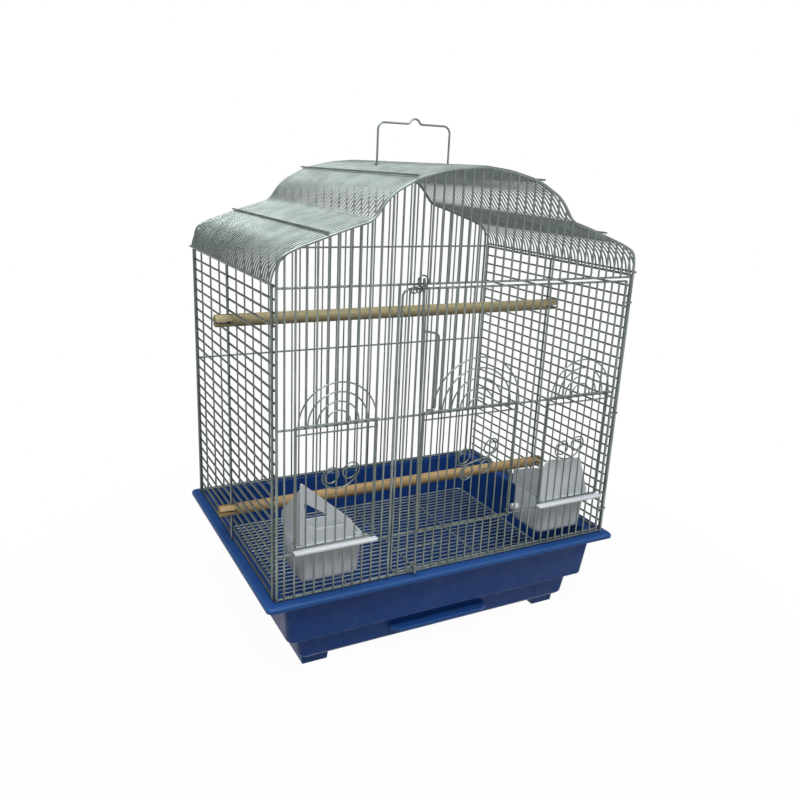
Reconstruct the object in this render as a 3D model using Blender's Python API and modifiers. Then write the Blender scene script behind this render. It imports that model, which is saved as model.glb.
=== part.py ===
# Parrot cage: wire body on a moulded plastic base, with a large front door, three small
# lift-up doors, hooded feeder cups, two wooden perches, a floor grille and a carry handle.
# Metres, +Z up. Front is -Y, right is +X, the feet stand on z = 0, origin at the bottom centre.
import math

import bmesh
import bpy
from mathutils import Matrix, Vector

# Overall sizes. The wire box stands on the base's flange.
BASE_HALF_W = 0.2445
BASE_HALF_D = 0.1785
CAGE_INSET_W = 0.0140
CAGE_INSET_D = 0.0119
CAGE_HALF_W = BASE_HALF_W - CAGE_INSET_W
CAGE_HALF_D = BASE_HALF_D - CAGE_INSET_D
FLANGE_TOP_Z = 0.1136
PANEL_BOTTOM_Z = FLANGE_TOP_Z + 0.0022
EAVES_Z = 0.4637
FRONT_EAVES_Z = EAVES_Z - 0.0022
ROOF_RISE = 0.1203
PEAK_FLAT = 0.0030
PEAK_Z = EAVES_Z + ROOF_RISE

# Wire radii, and the gap between separate pieces
BAR_R = 0.0012
RAIL_R = 0.0013
FRAME_R = 0.0016
SIDE_ROW_R = 0.0013
ROOF_WIRE_R = 0.0010
TIE_R = 0.0011
SMALL_LEG_R = 0.0012
SMALL_R = 0.0009
HANDLE_R = 0.00125
LATCH_R = 0.0015
LEVER_R = 0.0012
GAP = 0.0003
WELD_DISTANCE = 0.00002

# Wire positions
BAR_COUNT = 39
BAR_MARGIN = 0.0084
BAR_PITCH = 2.0 * (CAGE_HALF_W - BAR_MARGIN) / (BAR_COUNT - 1)
RAIL_INSET = 0.00185
SIDE_ROWS = 26
ROW_PITCH = (EAVES_Z - PANEL_BOTTOM_Z) / SIDE_ROWS
SIDE_X = CAGE_HALF_W + 0.0030
SIDE_POST_Y = CAGE_HALF_D - 0.0056
SIDE_ROW_INSET = 0.0021
ROOF_WIRES = 47
ROOF_HALF_D = CAGE_HALF_D - 0.0034
ROOF_LIFT = 0.0014
ROOF_TIE_X = (0.1766, 0.0786)
TIE_OVERHANG = 0.0034

# Front layout
MID_RAIL_Z = 0.3134
BACK_RAIL_Z = 0.3145
FEEDER_RAIL_Z = 0.1686
FIXED_POST_X = -8.0 * BAR_PITCH - 0.0010
DOOR_LEFT_X = FIXED_POST_X + 0.0050
DOOR_RIGHT_X = CAGE_HALF_W - 0.0090
DOOR_TOP_Z = FRONT_EAVES_Z - 0.0050
DOOR_BOTTOM_Z = PANEL_BOTTOM_Z + 0.0037
DOOR_CORNER_R = 0.0085
HINGE_LOOP_Z = (0.1500, 0.2850, 0.4300)
RUNG_Z = 0.1478
RUNG_BEAD_R = 0.0022

# Small doors
SMALL_DOOR_Y = -CAGE_HALF_D - BAR_R - SMALL_LEG_R - GAP
SMALL_RAIL_Y = SMALL_DOOR_Y - 0.0015
ORNAMENT_Y = SMALL_DOOR_Y - 0.0023
SIDE_DOOR_BOTTOM_Z = 0.1782
CENTRE_DOOR_BOTTOM_Z = 0.1702
SMALL_TOP_Z = 0.3085
ARCH_BASE_Z = 0.3178
ARCH_RADII_SIDE = [4.0 * BAR_PITCH - inset for inset in (0.0018, 0.0123, 0.0228, 0.0328)]
ARCH_RADII_CENTRE = [5.5 * BAR_PITCH - inset for inset in (0.0053, 0.0178, 0.0298, 0.0418, 0.0533)]

# Latch
LATCH_Y = ORNAMENT_Y - 0.0032
LATCH_TOP = (DOOR_LEFT_X + 0.0196, DOOR_TOP_Z + 0.0125)
LATCH_BOTTOM = (DOOR_LEFT_X + 0.0270, DOOR_BOTTOM_Z - 0.0005)
LEVER_TOP_Z = 0.4110
LEVER_X = LATCH_BOTTOM[0] + 0.0147
LEVER_BOTTOM_Z = 0.3215

# Perches, each notched over one row of the side panels
PERCH_R = 0.0076
PERCH_OVERHANG = 0.0160
PERCH_HALF = SIDE_X + PERCH_OVERHANG
PERCH_SLOT_X = SIDE_X - 0.0045
UPPER_PERCH_ROW = 5
LOWER_PERCH_ROW = 23
PERCH_UPPER_Z = EAVES_Z - UPPER_PERCH_ROW * ROW_PITCH + 0.0017
PERCH_LOWER_Z = EAVES_Z - LOWER_PERCH_ROW * ROW_PITCH - 0.0004

# Carry handle, a little to the right of the middle
HANDLE_X = 0.0040
HANDLE_HALF = 0.0500
HANDLE_PIVOT_Z = PEAK_Z - 0.0050
HANDLE_EYE_R = 0.0038
HANDLE_RISE = 0.0515
HANDLE_HUMP = 0.0062
HANDLE_TOP_Z = HANDLE_PIVOT_Z + HANDLE_RISE
HANDLE_HUMP_Z = HANDLE_TOP_Z + HANDLE_HUMP

# Base tray
WALL = 0.0020
LIP_BOTTOM_Z = FLANGE_TOP_Z - 0.0058
UPPER_TOP = (BASE_HALF_W - 0.0241, BASE_HALF_D - 0.0139)
UPPER_BOTTOM = (BASE_HALF_W - 0.0306, BASE_HALF_D - 0.0193)
STEP_Z = 0.0513
LOWER_TOP = (BASE_HALF_W - 0.0455, BASE_HALF_D - 0.0299)
LOWER_BOTTOM = (BASE_HALF_W - 0.0500, BASE_HALF_D - 0.0329)
FLOOR_Z = 0.0165
FLANGE_CORNER_R = 0.0050
TUB_CORNER_R = 0.0090
RUNNER_BACK_Y = 0.0600

# Floor grille, lying on the step in the tray's wall
GRILLE_R = 0.0010
GRILLE_FRAME_R = 0.00125
GRILLE_HALF_W = LOWER_TOP[0] + 0.0060
GRILLE_HALF_D = LOWER_TOP[1] + 0.0030
GRILLE_LONG = 31
GRILLE_CROSS = 3
GRILLE_Z = STEP_Z + WALL + GRILLE_FRAME_R + GAP

# Feeder cups
CUP_CENTRE_X = 14.0 * BAR_PITCH
CUP_HALF_W = 0.0390
CUP_FRONT_Y = -CAGE_HALF_D + 0.0038
CUP_BACK_Y = CUP_FRONT_Y + 0.0618
CUP_TOP_Z = 0.1765
CUP_BOTTOM_Z = 0.1250
CUP_WALL = 0.0018
NECK_HALF_W = 4.0 * BAR_PITCH - 0.0038
LEDGE_HALF_W = 0.0500
LEDGE_BACK_Y = -CAGE_HALF_D - 0.0026
LEDGE_FRONT_Y = LEDGE_BACK_Y - 0.0088
LEDGE_Z = 0.1740
LEDGE_THICK = 0.0034
HOOD_HALF_W = CUP_HALF_W - 0.0002
LEFT_HOOD_TALL = 0.0729
RIGHT_HOOD_TALL = 0.0541

for item in list(bpy.data.objects):
    bpy.data.objects.remove(item, do_unlink=True)
for item in list(bpy.data.collections):
    bpy.data.collections.remove(item)

parts = bpy.data.collections.new("parrot_cage")
cutters = bpy.data.collections.new("cutters")
bpy.context.scene.collection.children.link(parts)
bpy.context.scene.collection.children.link(cutters)

ZINC = ((0.36, 0.39, 0.37), 0.75, 0.42)
DARK_ZINC = ((0.24, 0.27, 0.25), 0.80, 0.40)
FLOOR_ZINC = ((0.45, 0.48, 0.46), 0.75, 0.45)
BLUE = ((0.02, 0.09, 0.42), 0.0, 0.40)
WHITE = ((0.80, 0.82, 0.84), 0.0, 0.35)
PALE_WOOD = ((0.62, 0.47, 0.20), 0.0, 0.60)
WARM_WOOD = ((0.66, 0.40, 0.13), 0.0, 0.60)


def holder(name, place, parent=None):
    # An empty on a joint's axis, or at the part's origin.
    made = bpy.data.objects.new(name, None)
    made.empty_display_size = 0.02
    parts.objects.link(made)
    made.parent = parent
    base = parent.matrix_world.translation if parent else Vector((0, 0, 0))
    made.location = Vector(place) - base
    bpy.context.view_layer.update()
    return made


def weld(made):
    mesh = bmesh.new()
    mesh.from_mesh(made.data)
    bmesh.ops.remove_doubles(mesh, verts=mesh.verts, dist=WELD_DISTANCE)
    bmesh.ops.recalc_face_normals(mesh, faces=mesh.faces)
    mesh.to_mesh(made.data)
    mesh.free()
    return made


def as_mesh(curve_object, name):
    graph = bpy.context.evaluated_depsgraph_get()
    mesh = bpy.data.meshes.new_from_object(curve_object.evaluated_get(graph))
    made = bpy.data.objects.new(name, mesh)
    made.matrix_world = curve_object.matrix_world.copy()
    bpy.data.objects.remove(curve_object, do_unlink=True)
    parts.objects.link(made)
    made.name = name
    return weld(made)


def wires(name, runs):
    # Bevelled curves. Each run is its points, its wire radius, and whether it closes on itself.
    # With no bevel resolution the section is square, and two crossing wires meet ridge to ridge.
    curve = bpy.data.curves.new(name, "CURVE")
    curve.dimensions = "3D"
    curve.bevel_depth = BAR_R
    curve.bevel_resolution = 0
    curve.render_resolution_u = 0
    curve.use_fill_caps = True
    for points, radius, closed in runs:
        spline = curve.splines.new("POLY")
        spline.points.add(len(points) - 1)
        for point, place in zip(spline.points, points):
            point.co = (place[0], place[1], place[2], 1.0)
            point.radius = radius / BAR_R
        spline.use_cyclic_u = closed
    made = bpy.data.objects.new(name + "_curve", curve)
    parts.objects.link(made)
    return as_mesh(made, name)


def plate(name, outlines, thickness, matrix):
    # A flat outline in local XY, with its thickness along local Z. Further outlines are windows.
    curve = bpy.data.curves.new(name, "CURVE")
    curve.dimensions = "2D"
    curve.fill_mode = "BOTH"
    curve.extrude = thickness / 2.0
    curve.render_resolution_u = 0
    for outline in outlines:
        spline = curve.splines.new("POLY")
        spline.points.add(len(outline) - 1)
        for point, place in zip(spline.points, outline):
            point.co = (place[0], place[1], 0.0, 1.0)
        spline.use_cyclic_u = True
    made = bpy.data.objects.new(name + "_curve", curve)
    parts.objects.link(made)
    made.matrix_world = matrix
    bpy.context.view_layer.update()
    made = as_mesh(made, name)
    made.data.transform(made.matrix_world)
    made.matrix_world = Matrix.Identity(4)
    return made


FACING_FRONT = Matrix.Rotation(math.radians(90), 4, "X")
FACING_SIDE = Matrix.Rotation(math.radians(90), 4, "Z") @ Matrix.Rotation(math.radians(90), 4, "X")


def block(name, low, high, collection=None):
    mesh = bmesh.new()
    middle = [(a + b) / 2.0 for a, b in zip(low, high)]
    size = [abs(b - a) for a, b in zip(low, high)]
    matrix = Matrix.Translation(middle) @ Matrix.Diagonal((size[0], size[1], size[2], 1.0))
    bmesh.ops.create_cube(mesh, size=1.0, matrix=matrix)
    data = bpy.data.meshes.new(name)
    mesh.to_mesh(data)
    mesh.free()
    made = bpy.data.objects.new(name, data)
    (collection or parts).objects.link(made)
    return made


def rod_between(name, start, end, radius, sides):
    start, end = Vector(start), Vector(end)
    bpy.ops.mesh.primitive_cylinder_add(vertices=sides, radius=radius, depth=(end - start).length)
    made = bpy.context.object
    for owner in list(made.users_collection):
        owner.objects.unlink(made)
    parts.objects.link(made)
    made.name = name
    turn = (end - start).to_track_quat("Z", "Y").to_matrix().to_4x4()
    made.data.transform(Matrix.Translation((start + end) / 2.0) @ turn)
    made.matrix_world = Matrix.Identity(4)
    return made


def rounded(hw, hd, r, z, steps=3, centre=(0.0, 0.0)):
    out = []
    corners = ((hw - r, hd - r, 0), (-hw + r, hd - r, 90), (-hw + r, -hd + r, 180), (hw - r, -hd + r, 270))
    for cx, cy, first in corners:
        for i in range(steps + 1):
            a = math.radians(first + 90.0 * i / steps)
            out.append((centre[0] + cx + r * math.cos(a), centre[1] + cy + r * math.sin(a), z))
    return out


def shell(name, rings, thickness):
    # Rounded outlines bridged into an open tub, floor first, thickened on its inner side.
    mesh = bmesh.new()
    loops = []
    for one in rings:
        verts = [mesh.verts.new(p) for p in one]
        loops.append([mesh.edges.new((verts[i - 1], verts[i])) for i in range(len(verts))])
        if len(loops) == 1:
            floor = mesh.faces.new(verts)
    for lower, upper in zip(loops, loops[1:]):
        bmesh.ops.bridge_loops(mesh, edges=lower + upper)
    bmesh.ops.recalc_face_normals(mesh, faces=mesh.faces)
    mesh.normal_update()
    if floor.normal.z > 0:
        bmesh.ops.reverse_faces(mesh, faces=mesh.faces)
    data = bpy.data.meshes.new(name)
    mesh.to_mesh(data)
    mesh.free()
    made = bpy.data.objects.new(name, data)
    parts.objects.link(made)
    solidify = made.modifiers.new("wall", "SOLIDIFY")
    solidify.thickness = thickness
    solidify.offset = -1.0
    solidify.use_even_offset = True
    return made


def combine(base, other):
    union = base.modifiers.new("join", "BOOLEAN")
    union.operation = "UNION"
    union.solver = "EXACT"
    union.object = other
    graph = bpy.context.evaluated_depsgraph_get()
    mesh = bpy.data.meshes.new_from_object(base.evaluated_get(graph))
    base.modifiers.clear()
    base.data = mesh
    bpy.data.objects.remove(other, do_unlink=True)
    return base


def fused(name, groups):
    made = wires(name, groups[0])
    for k, group in enumerate(groups[1:]):
        combine(made, wires(name + "_group%d" % k, group))
    return made


def complete(made, look, parent, origin=None):
    # Gives a piece its own material, its origin and its parent. Where unions left two corners
    # closer than the weld distance, they become one.
    weld(made)
    colour, metallic, roughness = look
    finish = bpy.data.materials.new(made.name + "_finish")
    finish.use_nodes = True
    shader = finish.node_tree.nodes["Principled BSDF"]
    shader.inputs["Base Color"].default_value = (colour[0], colour[1], colour[2], 1.0)
    shader.inputs["Metallic"].default_value = metallic
    shader.inputs["Roughness"].default_value = roughness
    finish.diffuse_color = (colour[0], colour[1], colour[2], 1.0)
    made.data.materials.clear()
    made.data.materials.append(finish)
    base = parent.matrix_world.translation
    origin = Vector(origin) if origin else base.copy()
    made.data.transform(Matrix.Translation(-origin))
    made.parent = parent
    made.location = origin - base
    made.data.shade_smooth()
    made.data.set_sharp_from_angle(angle=math.radians(40))
    made.data.name = made.name
    return made


def upright(x, y, z0, z1, r):
    return [(x, y, z0), (x, y, z1)], r, False


def across_x(y, z, x0, x1, r):
    return [(x0, y, z), (x1, y, z)], r, False


def along_y(x, z, y0, y1, r):
    return [(x, y0, z), (x, y1, z)], r, False


def arc(cx, cz, r, a0, a1, n):
    out = []
    for i in range(n + 1):
        a = math.radians(a0 + (a1 - a0) * i / n)
        out.append((cx + r * math.cos(a), cz + r * math.sin(a)))
    return out


def ring(centre, big, small, normal, n=10):
    pts = []
    for i in range(n):
        a = 2.0 * math.pi * i / n
        c, s = big * math.cos(a), big * math.sin(a)
        offset = {"X": (0.0, c, s), "Y": (c, 0.0, s), "Z": (c, s, 0.0)}[normal]
        pts.append(tuple(p + q for p, q in zip(centre, offset)))
    return pts, small, True


def bar_x(k):
    return BAR_PITCH * (k - (BAR_COUNT + 1) / 2.0)


# Half of the gable's outline, from the eaves up to the peak: shoulder, slope, step and dome
GABLE_HALF = [(CAGE_HALF_W, EAVES_Z), (CAGE_HALF_W - 0.0005, EAVES_Z + 0.0178),
              (CAGE_HALF_W - 0.0043, EAVES_Z + 0.0288), (CAGE_HALF_W - 0.0202, EAVES_Z + 0.0366),
              (0.1541, EAVES_Z + 0.0560), (0.1278, EAVES_Z + 0.0635), (0.1135, PEAK_Z - 0.0370),
              (0.1040, PEAK_Z - 0.0280), (0.0760, PEAK_Z - 0.0128), (0.0400, PEAK_Z - 0.0040),
              (0.0, PEAK_Z)]
# The roof's wires start outside the side panels' top rows and run a little above the gables
ROOF_HALF = [(CAGE_HALF_W + 0.0053, EAVES_Z + 0.0013), (CAGE_HALF_W + 0.0008, EAVES_Z + 0.0190)]
ROOF_HALF += [(x, z + ROOF_LIFT) for x, z in GABLE_HALF[3:]]
EAVES_TIE = (CAGE_HALF_W + 0.0070, EAVES_Z + 0.0033)


def full_profile(half):
    left = [(-x, z) for x, z in half[:-1]]
    right = [(x, z) for x, z in reversed(half[:-1])]
    return left + [half[-1]] + right


def profile_z(x):
    x = abs(x)
    for (xa, za), (xb, zb) in zip(GABLE_HALF, GABLE_HALF[1:]):
        if xb <= x <= xa and xa > xb:
            return za + (zb - za) * (xa - x) / (xa - xb)
    return PEAK_Z


def over_roof(x, lift):
    # A point at x on the roof's outline, moved out from it by lift.
    for (xa, za), (xb, zb) in zip(ROOF_HALF, ROOF_HALF[1:]):
        if xb <= x <= xa:
            along = Vector((xb - xa, zb - za)).normalized()
            z = za + (zb - za) * (xa - x) / (xa - xb)
            return x + lift * along.y, z - lift * along.x
    return x, PEAK_Z + ROOF_LIFT + lift


def gable_wire(y):
    # The peak is a short flat, so that the middle bar doesn't end on a mitre.
    half = [(CAGE_HALF_W, PANEL_BOTTOM_Z - 0.0012), *GABLE_HALF[:-1], (PEAK_FLAT, PEAK_Z)]
    pts = [(-x, y, z) for x, z in half] + [(x, y, z) for x, z in reversed(half)]
    return pts, FRAME_R, False


front_y = -CAGE_HALF_D
rail_y = front_y + RAIL_INSET
BOTTOM = PANEL_BOTTOM_Z - 0.0008
LEFT_OPEN = range(3, 10)
CENTRE_OPEN = range(16, 26)
RIGHT_OPEN = range(31, 38)

# The part's origin and one empty on each joint's axis
cage = holder("cage_origin", (0.0, 0.0, 0.0))
door_axis = holder("main_door_axis", (CAGE_HALF_W, front_y, 0.2900), cage)
left_slide = holder("left_feeder_slide", (-CUP_CENTRE_X, SMALL_DOOR_Y, SIDE_DOOR_BOTTOM_Z), cage)
centre_slide = holder("centre_slide", (bar_x(20.5), SMALL_DOOR_Y, CENTRE_DOOR_BOTTOM_Z), door_axis)
right_slide = holder("right_feeder_slide", (CUP_CENTRE_X, SMALL_DOOR_Y, SIDE_DOOR_BOTTOM_Z), door_axis)
latch_middle = ((LATCH_TOP[0] + LATCH_BOTTOM[0]) / 2.0, LATCH_Y, (LATCH_TOP[1] + LATCH_BOTTOM[1]) / 2.0)
latch_axis = holder("latch_axis", latch_middle, door_axis)
handle_axis = holder("handle_axis", (0.0, 0.0, HANDLE_PIVOT_Z), cage)

# Front panel: fixed frame, gable bars and the left bay
bars = []
for k in range(1, BAR_COUNT + 1):
    top = profile_z(bar_x(k))
    if k in LEFT_OPEN:
        bars.append(upright(bar_x(k), front_y, BOTTOM, FEEDER_RAIL_Z + 0.0008, BAR_R))
        bars.append(upright(bar_x(k), front_y, MID_RAIL_Z - 0.0008, top, BAR_R))
    elif k < 12:
        bars.append(upright(bar_x(k), front_y, BOTTOM, top, BAR_R))
    else:
        bars.append(upright(bar_x(k), front_y, FRONT_EAVES_Z - 0.0008, top, BAR_R))
frame = [gable_wire(front_y), upright(FIXED_POST_X, front_y, BOTTOM, FRONT_EAVES_Z + 0.0002, FRAME_R)]
end_x = CAGE_HALF_W + 0.0006
rails = [across_x(rail_y, FRONT_EAVES_Z, -end_x, end_x, RAIL_R),
         across_x(rail_y, PANEL_BOTTOM_Z, -end_x, end_x, RAIL_R),
         across_x(rail_y, MID_RAIL_Z, -end_x, FIXED_POST_X + 0.0006, RAIL_R),
         across_x(rail_y, FEEDER_RAIL_Z, -end_x, FIXED_POST_X + 0.0006, RAIL_R)]
complete(fused("front_panel", [bars, rails, frame]), ZINC, cage, (0.0, front_y, PANEL_BOTTOM_Z))

# Back panel
back_y = CAGE_HALF_D
bars = [upright(bar_x(k), back_y, BOTTOM, profile_z(bar_x(k)), BAR_R) for k in range(1, BAR_COUNT + 1)]
rails = [across_x(back_y - RAIL_INSET, z, -end_x, end_x, RAIL_R)
         for z in (EAVES_Z, BACK_RAIL_Z, PANEL_BOTTOM_Z)]
complete(fused("back_panel", [bars, rails, [gable_wire(back_y)]]), ZINC, cage, (0.0, back_y, PANEL_BOTTOM_Z))

# Side panels: rows inside, posts and a middle brace outside
row_end = SIDE_POST_Y + 0.001
for name, side in (("left_side_panel", -1), ("right_side_panel", 1)):
    x = side * SIDE_X
    row_x = side * (SIDE_X - SIDE_ROW_INSET)
    ends = [upright(x, y, BOTTOM, EAVES_Z, FRAME_R) for y in (-SIDE_POST_Y, 0.0, SIDE_POST_Y)]
    rows = [along_y(row_x, EAVES_Z - ROW_PITCH * j, -row_end, row_end, SIDE_ROW_R)
            for j in range(1, SIDE_ROWS)]
    rows.append(along_y(row_x, EAVES_Z, -row_end, row_end, FRAME_R))
    rows.append(along_y(row_x, PANEL_BOTTOM_Z, -row_end, row_end, RAIL_R))
    complete(fused(name, [rows, ends]), ZINC, cage, (x, 0.0, PANEL_BOTTOM_Z))

# Roof: profile wires side by side, held by a wire along each eave. Wires that run front to back
# over the slopes and the dome, and one under the ridge, are pieces of their own.
profiles = []
roof_pitch = 2.0 * ROOF_HALF_D / (ROOF_WIRES - 1)
for i in range(ROOF_WIRES):
    y = -ROOF_HALF_D + i * roof_pitch
    profiles.append(([(x, y, z) for x, z in full_profile(ROOF_HALF)], ROOF_WIRE_R, False))
eave_end = ROOF_HALF_D + 0.0010
eaves = [along_y(s * EAVES_TIE[0], EAVES_TIE[1], -eave_end, eave_end, 0.00125) for s in (-1, 1)]
complete(fused("roof_panel", [profiles, eaves]), ZINC, cage, (0.0, 0.0, PEAK_Z))
tie_end = CAGE_HALF_D + TIE_OVERHANG
for place, x in zip(("roof_tie", "dome_tie"), ROOF_TIE_X):
    tie_x, tie_z = over_roof(x, ROOF_WIRE_R + TIE_R + GAP)
    for side, word in ((-1, "left"), (1, "right")):
        tie = wires(place + "_" + word, [along_y(side * tie_x, tie_z, -tie_end, tie_end, TIE_R)])
        complete(tie, ZINC, cage, (side * tie_x, 0.0, tie_z))
ridge_z = PEAK_Z + ROOF_LIFT - ROOF_WIRE_R - TIE_R - GAP
ridge = wires("ridge_tie", [along_y(0.0, ridge_z, -ROOF_HALF_D, ROOF_HALF_D, TIE_R)])
complete(ridge, ZINC, cage, (0.0, 0.0, ridge_z))

# Carry handle: a wire bail whose eyes turn on the roof's middle wire
HANDLE_BEND = 0.0090
path = [(-HANDLE_HALF, HANDLE_PIVOT_Z + HANDLE_EYE_R)]
path += arc(-HANDLE_HALF + HANDLE_BEND, HANDLE_TOP_Z - HANDLE_BEND, HANDLE_BEND, 180, 90, 4)
path += [(-0.0085, HANDLE_TOP_Z), (-0.0040, HANDLE_HUMP_Z - 0.001), (0.0, HANDLE_HUMP_Z),
         (0.0040, HANDLE_HUMP_Z - 0.001), (0.0085, HANDLE_TOP_Z)]
path += arc(HANDLE_HALF - HANDLE_BEND, HANDLE_TOP_Z - HANDLE_BEND, HANDLE_BEND, 90, 0, 4)
path.append((HANDLE_HALF, HANDLE_PIVOT_Z + HANDLE_EYE_R))
bail = [([(HANDLE_X + x, 0.0, z) for x, z in path], HANDLE_R, False)]
eyes = [ring((HANDLE_X + s * HANDLE_HALF, 0.0, HANDLE_PIVOT_Z), HANDLE_EYE_R, 0.0011, "X") for s in (-1, 1)]
complete(fused("carry_handle", [bail, eyes]), ZINC, handle_axis)

# Main door: outline with rounded left corners, bars, cross rails and loops on the right post
outline = [(DOOR_RIGHT_X + 0.001, DOOR_TOP_Z)]
outline += arc(DOOR_LEFT_X + DOOR_CORNER_R, DOOR_TOP_Z - DOOR_CORNER_R, DOOR_CORNER_R, 90, 180, 4)
outline += arc(DOOR_LEFT_X + DOOR_CORNER_R, DOOR_BOTTOM_Z + DOOR_CORNER_R, DOOR_CORNER_R, 180, 270, 4)
outline.append((DOOR_RIGHT_X + 0.001, DOOR_BOTTOM_Z))
edge = [([(x, rail_y, z) for x, z in outline], 0.0013, False)]
bars = [upright(DOOR_RIGHT_X, front_y, DOOR_BOTTOM_Z - 0.001, DOOR_TOP_Z + 0.001, FRAME_R)]
for k in range(13, BAR_COUNT):
    if k in CENTRE_OPEN or k in RIGHT_OPEN:
        bars.append(upright(bar_x(k), front_y, DOOR_BOTTOM_Z - 0.0008, FEEDER_RAIL_Z + 0.0008, BAR_R))
        bars.append(upright(bar_x(k), front_y, MID_RAIL_Z - 0.0008, DOOR_TOP_Z + 0.0008, BAR_R))
    else:
        bars.append(upright(bar_x(k), front_y, DOOR_BOTTOM_Z - 0.0008, DOOR_TOP_Z + 0.0008, BAR_R))
rails = [across_x(rail_y, z, DOOR_LEFT_X, DOOR_RIGHT_X + 0.001, RAIL_R) for z in (MID_RAIL_Z, FEEDER_RAIL_Z)]
rails.append(across_x(rail_y, RUNG_Z, DOOR_LEFT_X, bar_x(17) + 0.0010, RAIL_R))
loops = [across_x(rail_y, RUNG_Z, bar_x(17) + 0.0002, bar_x(17) + 0.0045, RUNG_BEAD_R)]
for z in HINGE_LOOP_Z:
    pts = []
    for a in (-75, -40, 0, 40, 75):
        t = math.radians(a)
        pts.append((CAGE_HALF_W + 0.0028 * math.cos(t), front_y + 0.0028 * math.sin(t), z))
    for a in (105, 180, 255):
        t = math.radians(a)
        pts.append((DOOR_RIGHT_X + 0.0018 * math.cos(t), front_y + 0.0018 * math.sin(t), z))
    loops.append((pts, 0.0008, True))
complete(fused("main_door", [bars, rails, edge, loops]), ZINC, door_axis)


# Small lift-up doors. Hooks at their feet ride on the bars beside the opening.
def small_door(name, k0, k1, bottom, parent):
    x0, x1 = bar_x(k0), bar_x(k1)
    top = SMALL_TOP_Z + 0.0070
    legs = [upright(x, SMALL_DOOR_Y, bottom - 0.0008, top, SMALL_LEG_R) for x in (x0, x1)]
    legs += [upright(bar_x(k), SMALL_DOOR_Y, bottom - 0.0006, top, SMALL_R) for k in range(k0 + 1, k1)]
    cross = [across_x(SMALL_RAIL_Y, z, x0 - 0.0005, x1 + 0.0005, 0.0010) for z in (bottom, SMALL_TOP_Z)]
    hooks = [ring((x, front_y, bottom + 0.0045), 0.0021, 0.0007, "Z", 8) for x in (x0, x1)]
    complete(fused(name, [legs, cross, hooks]), DARK_ZINC, parent)


def rainbow(name, x0, x1, centre, radii, parent):
    base = [across_x(ORNAMENT_Y, ARCH_BASE_Z, x0 - 0.0010, x1 + 0.0010, 0.0010)]
    arches = []
    for r in radii:
        n = max(6, int(round(r * 200)))
        pts = [(x, ORNAMENT_Y, z) for x, z in arc(centre, ARCH_BASE_Z, r, 0, 180, n)]
        arches.append((pts, SMALL_R, False))
    complete(fused(name, [arches, base]), ZINC, parent, (centre, ORNAMENT_Y, ARCH_BASE_Z))


def horns(cx, cz, spread, r_out, drop, flip, slant):
    # Two inward curls joined by a U, opening upwards, or downwards when flip is -1. The slant
    # lifts the right curl over the left one.
    r_in = 0.35 * r_out
    left = []
    n = 14
    for i in range(n + 1):
        t = i / n
        a = math.radians(-300.0 + 525.0 * t)
        r = r_in + (r_out - r_in) * math.sqrt(t)
        left.append((-spread + r * math.cos(a), r * math.sin(a)))
    end_x, end_z = left[-1]
    control_x = end_x + (end_z + drop)
    for t in (0.35, 0.70):
        x = (1 - t) ** 2 * end_x + 2 * t * (1 - t) * control_x
        z = (1 - t) ** 2 * end_z - (1 - (1 - t) ** 2) * drop
        left.append((x, z))
    path = left + [(0.0, -drop)] + [(-x, z) for x, z in reversed(left)]
    return [(cx + x, ORNAMENT_Y, cz + flip * z + slant * x) for x, z in path], SMALL_R, False


small_door("left_feeder_door", 2, 10, SIDE_DOOR_BOTTOM_Z, left_slide)
small_door("centre_door", 15, 26, CENTRE_DOOR_BOTTOM_Z, centre_slide)
small_door("right_feeder_door", 30, 38, SIDE_DOOR_BOTTOM_Z, right_slide)
centre_arch_x = bar_x(26) - ARCH_RADII_CENTRE[0] - 0.0006
rainbow("rainbow_left", bar_x(2), bar_x(10), -CUP_CENTRE_X, ARCH_RADII_SIDE, left_slide)
rainbow("rainbow_centre", bar_x(15), bar_x(26), centre_arch_x, ARCH_RADII_CENTRE, centre_slide)
rainbow("rainbow_right", bar_x(30), bar_x(38), CUP_CENTRE_X, ARCH_RADII_SIDE, right_slide)
scroll_x, scroll_z = 0.0042 - CUP_CENTRE_X, 0.2593
scroll = wires("scroll_left", [horns(scroll_x, scroll_z, 0.0115, 0.0106, 0.0165, 1, 0.13)])
complete(scroll, DARK_ZINC, left_slide, (scroll_x, ORNAMENT_Y, scroll_z))
scroll_x, scroll_z = CUP_CENTRE_X - 0.0080, 0.2500
scroll = wires("scroll_right", [horns(scroll_x, scroll_z, 0.0115, 0.0106, 0.0165, 1, 0.13)])
complete(scroll, DARK_ZINC, right_slide, (scroll_x, ORNAMENT_Y, scroll_z))
scroll_x, scroll_z = centre_arch_x + 0.0054, 0.2500
upper = [horns(scroll_x, scroll_z + 0.0110, 0.0187, 0.0106, 0.0114, 1, 0.22)]
lower = [horns(scroll_x, scroll_z - 0.0110, 0.0128, 0.0095, 0.0114, -1, 0.20)]
scroll = fused("scroll_centre", [upper, lower])
complete(scroll, DARK_ZINC, centre_slide, (scroll_x, ORNAMENT_Y, scroll_z))

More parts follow.
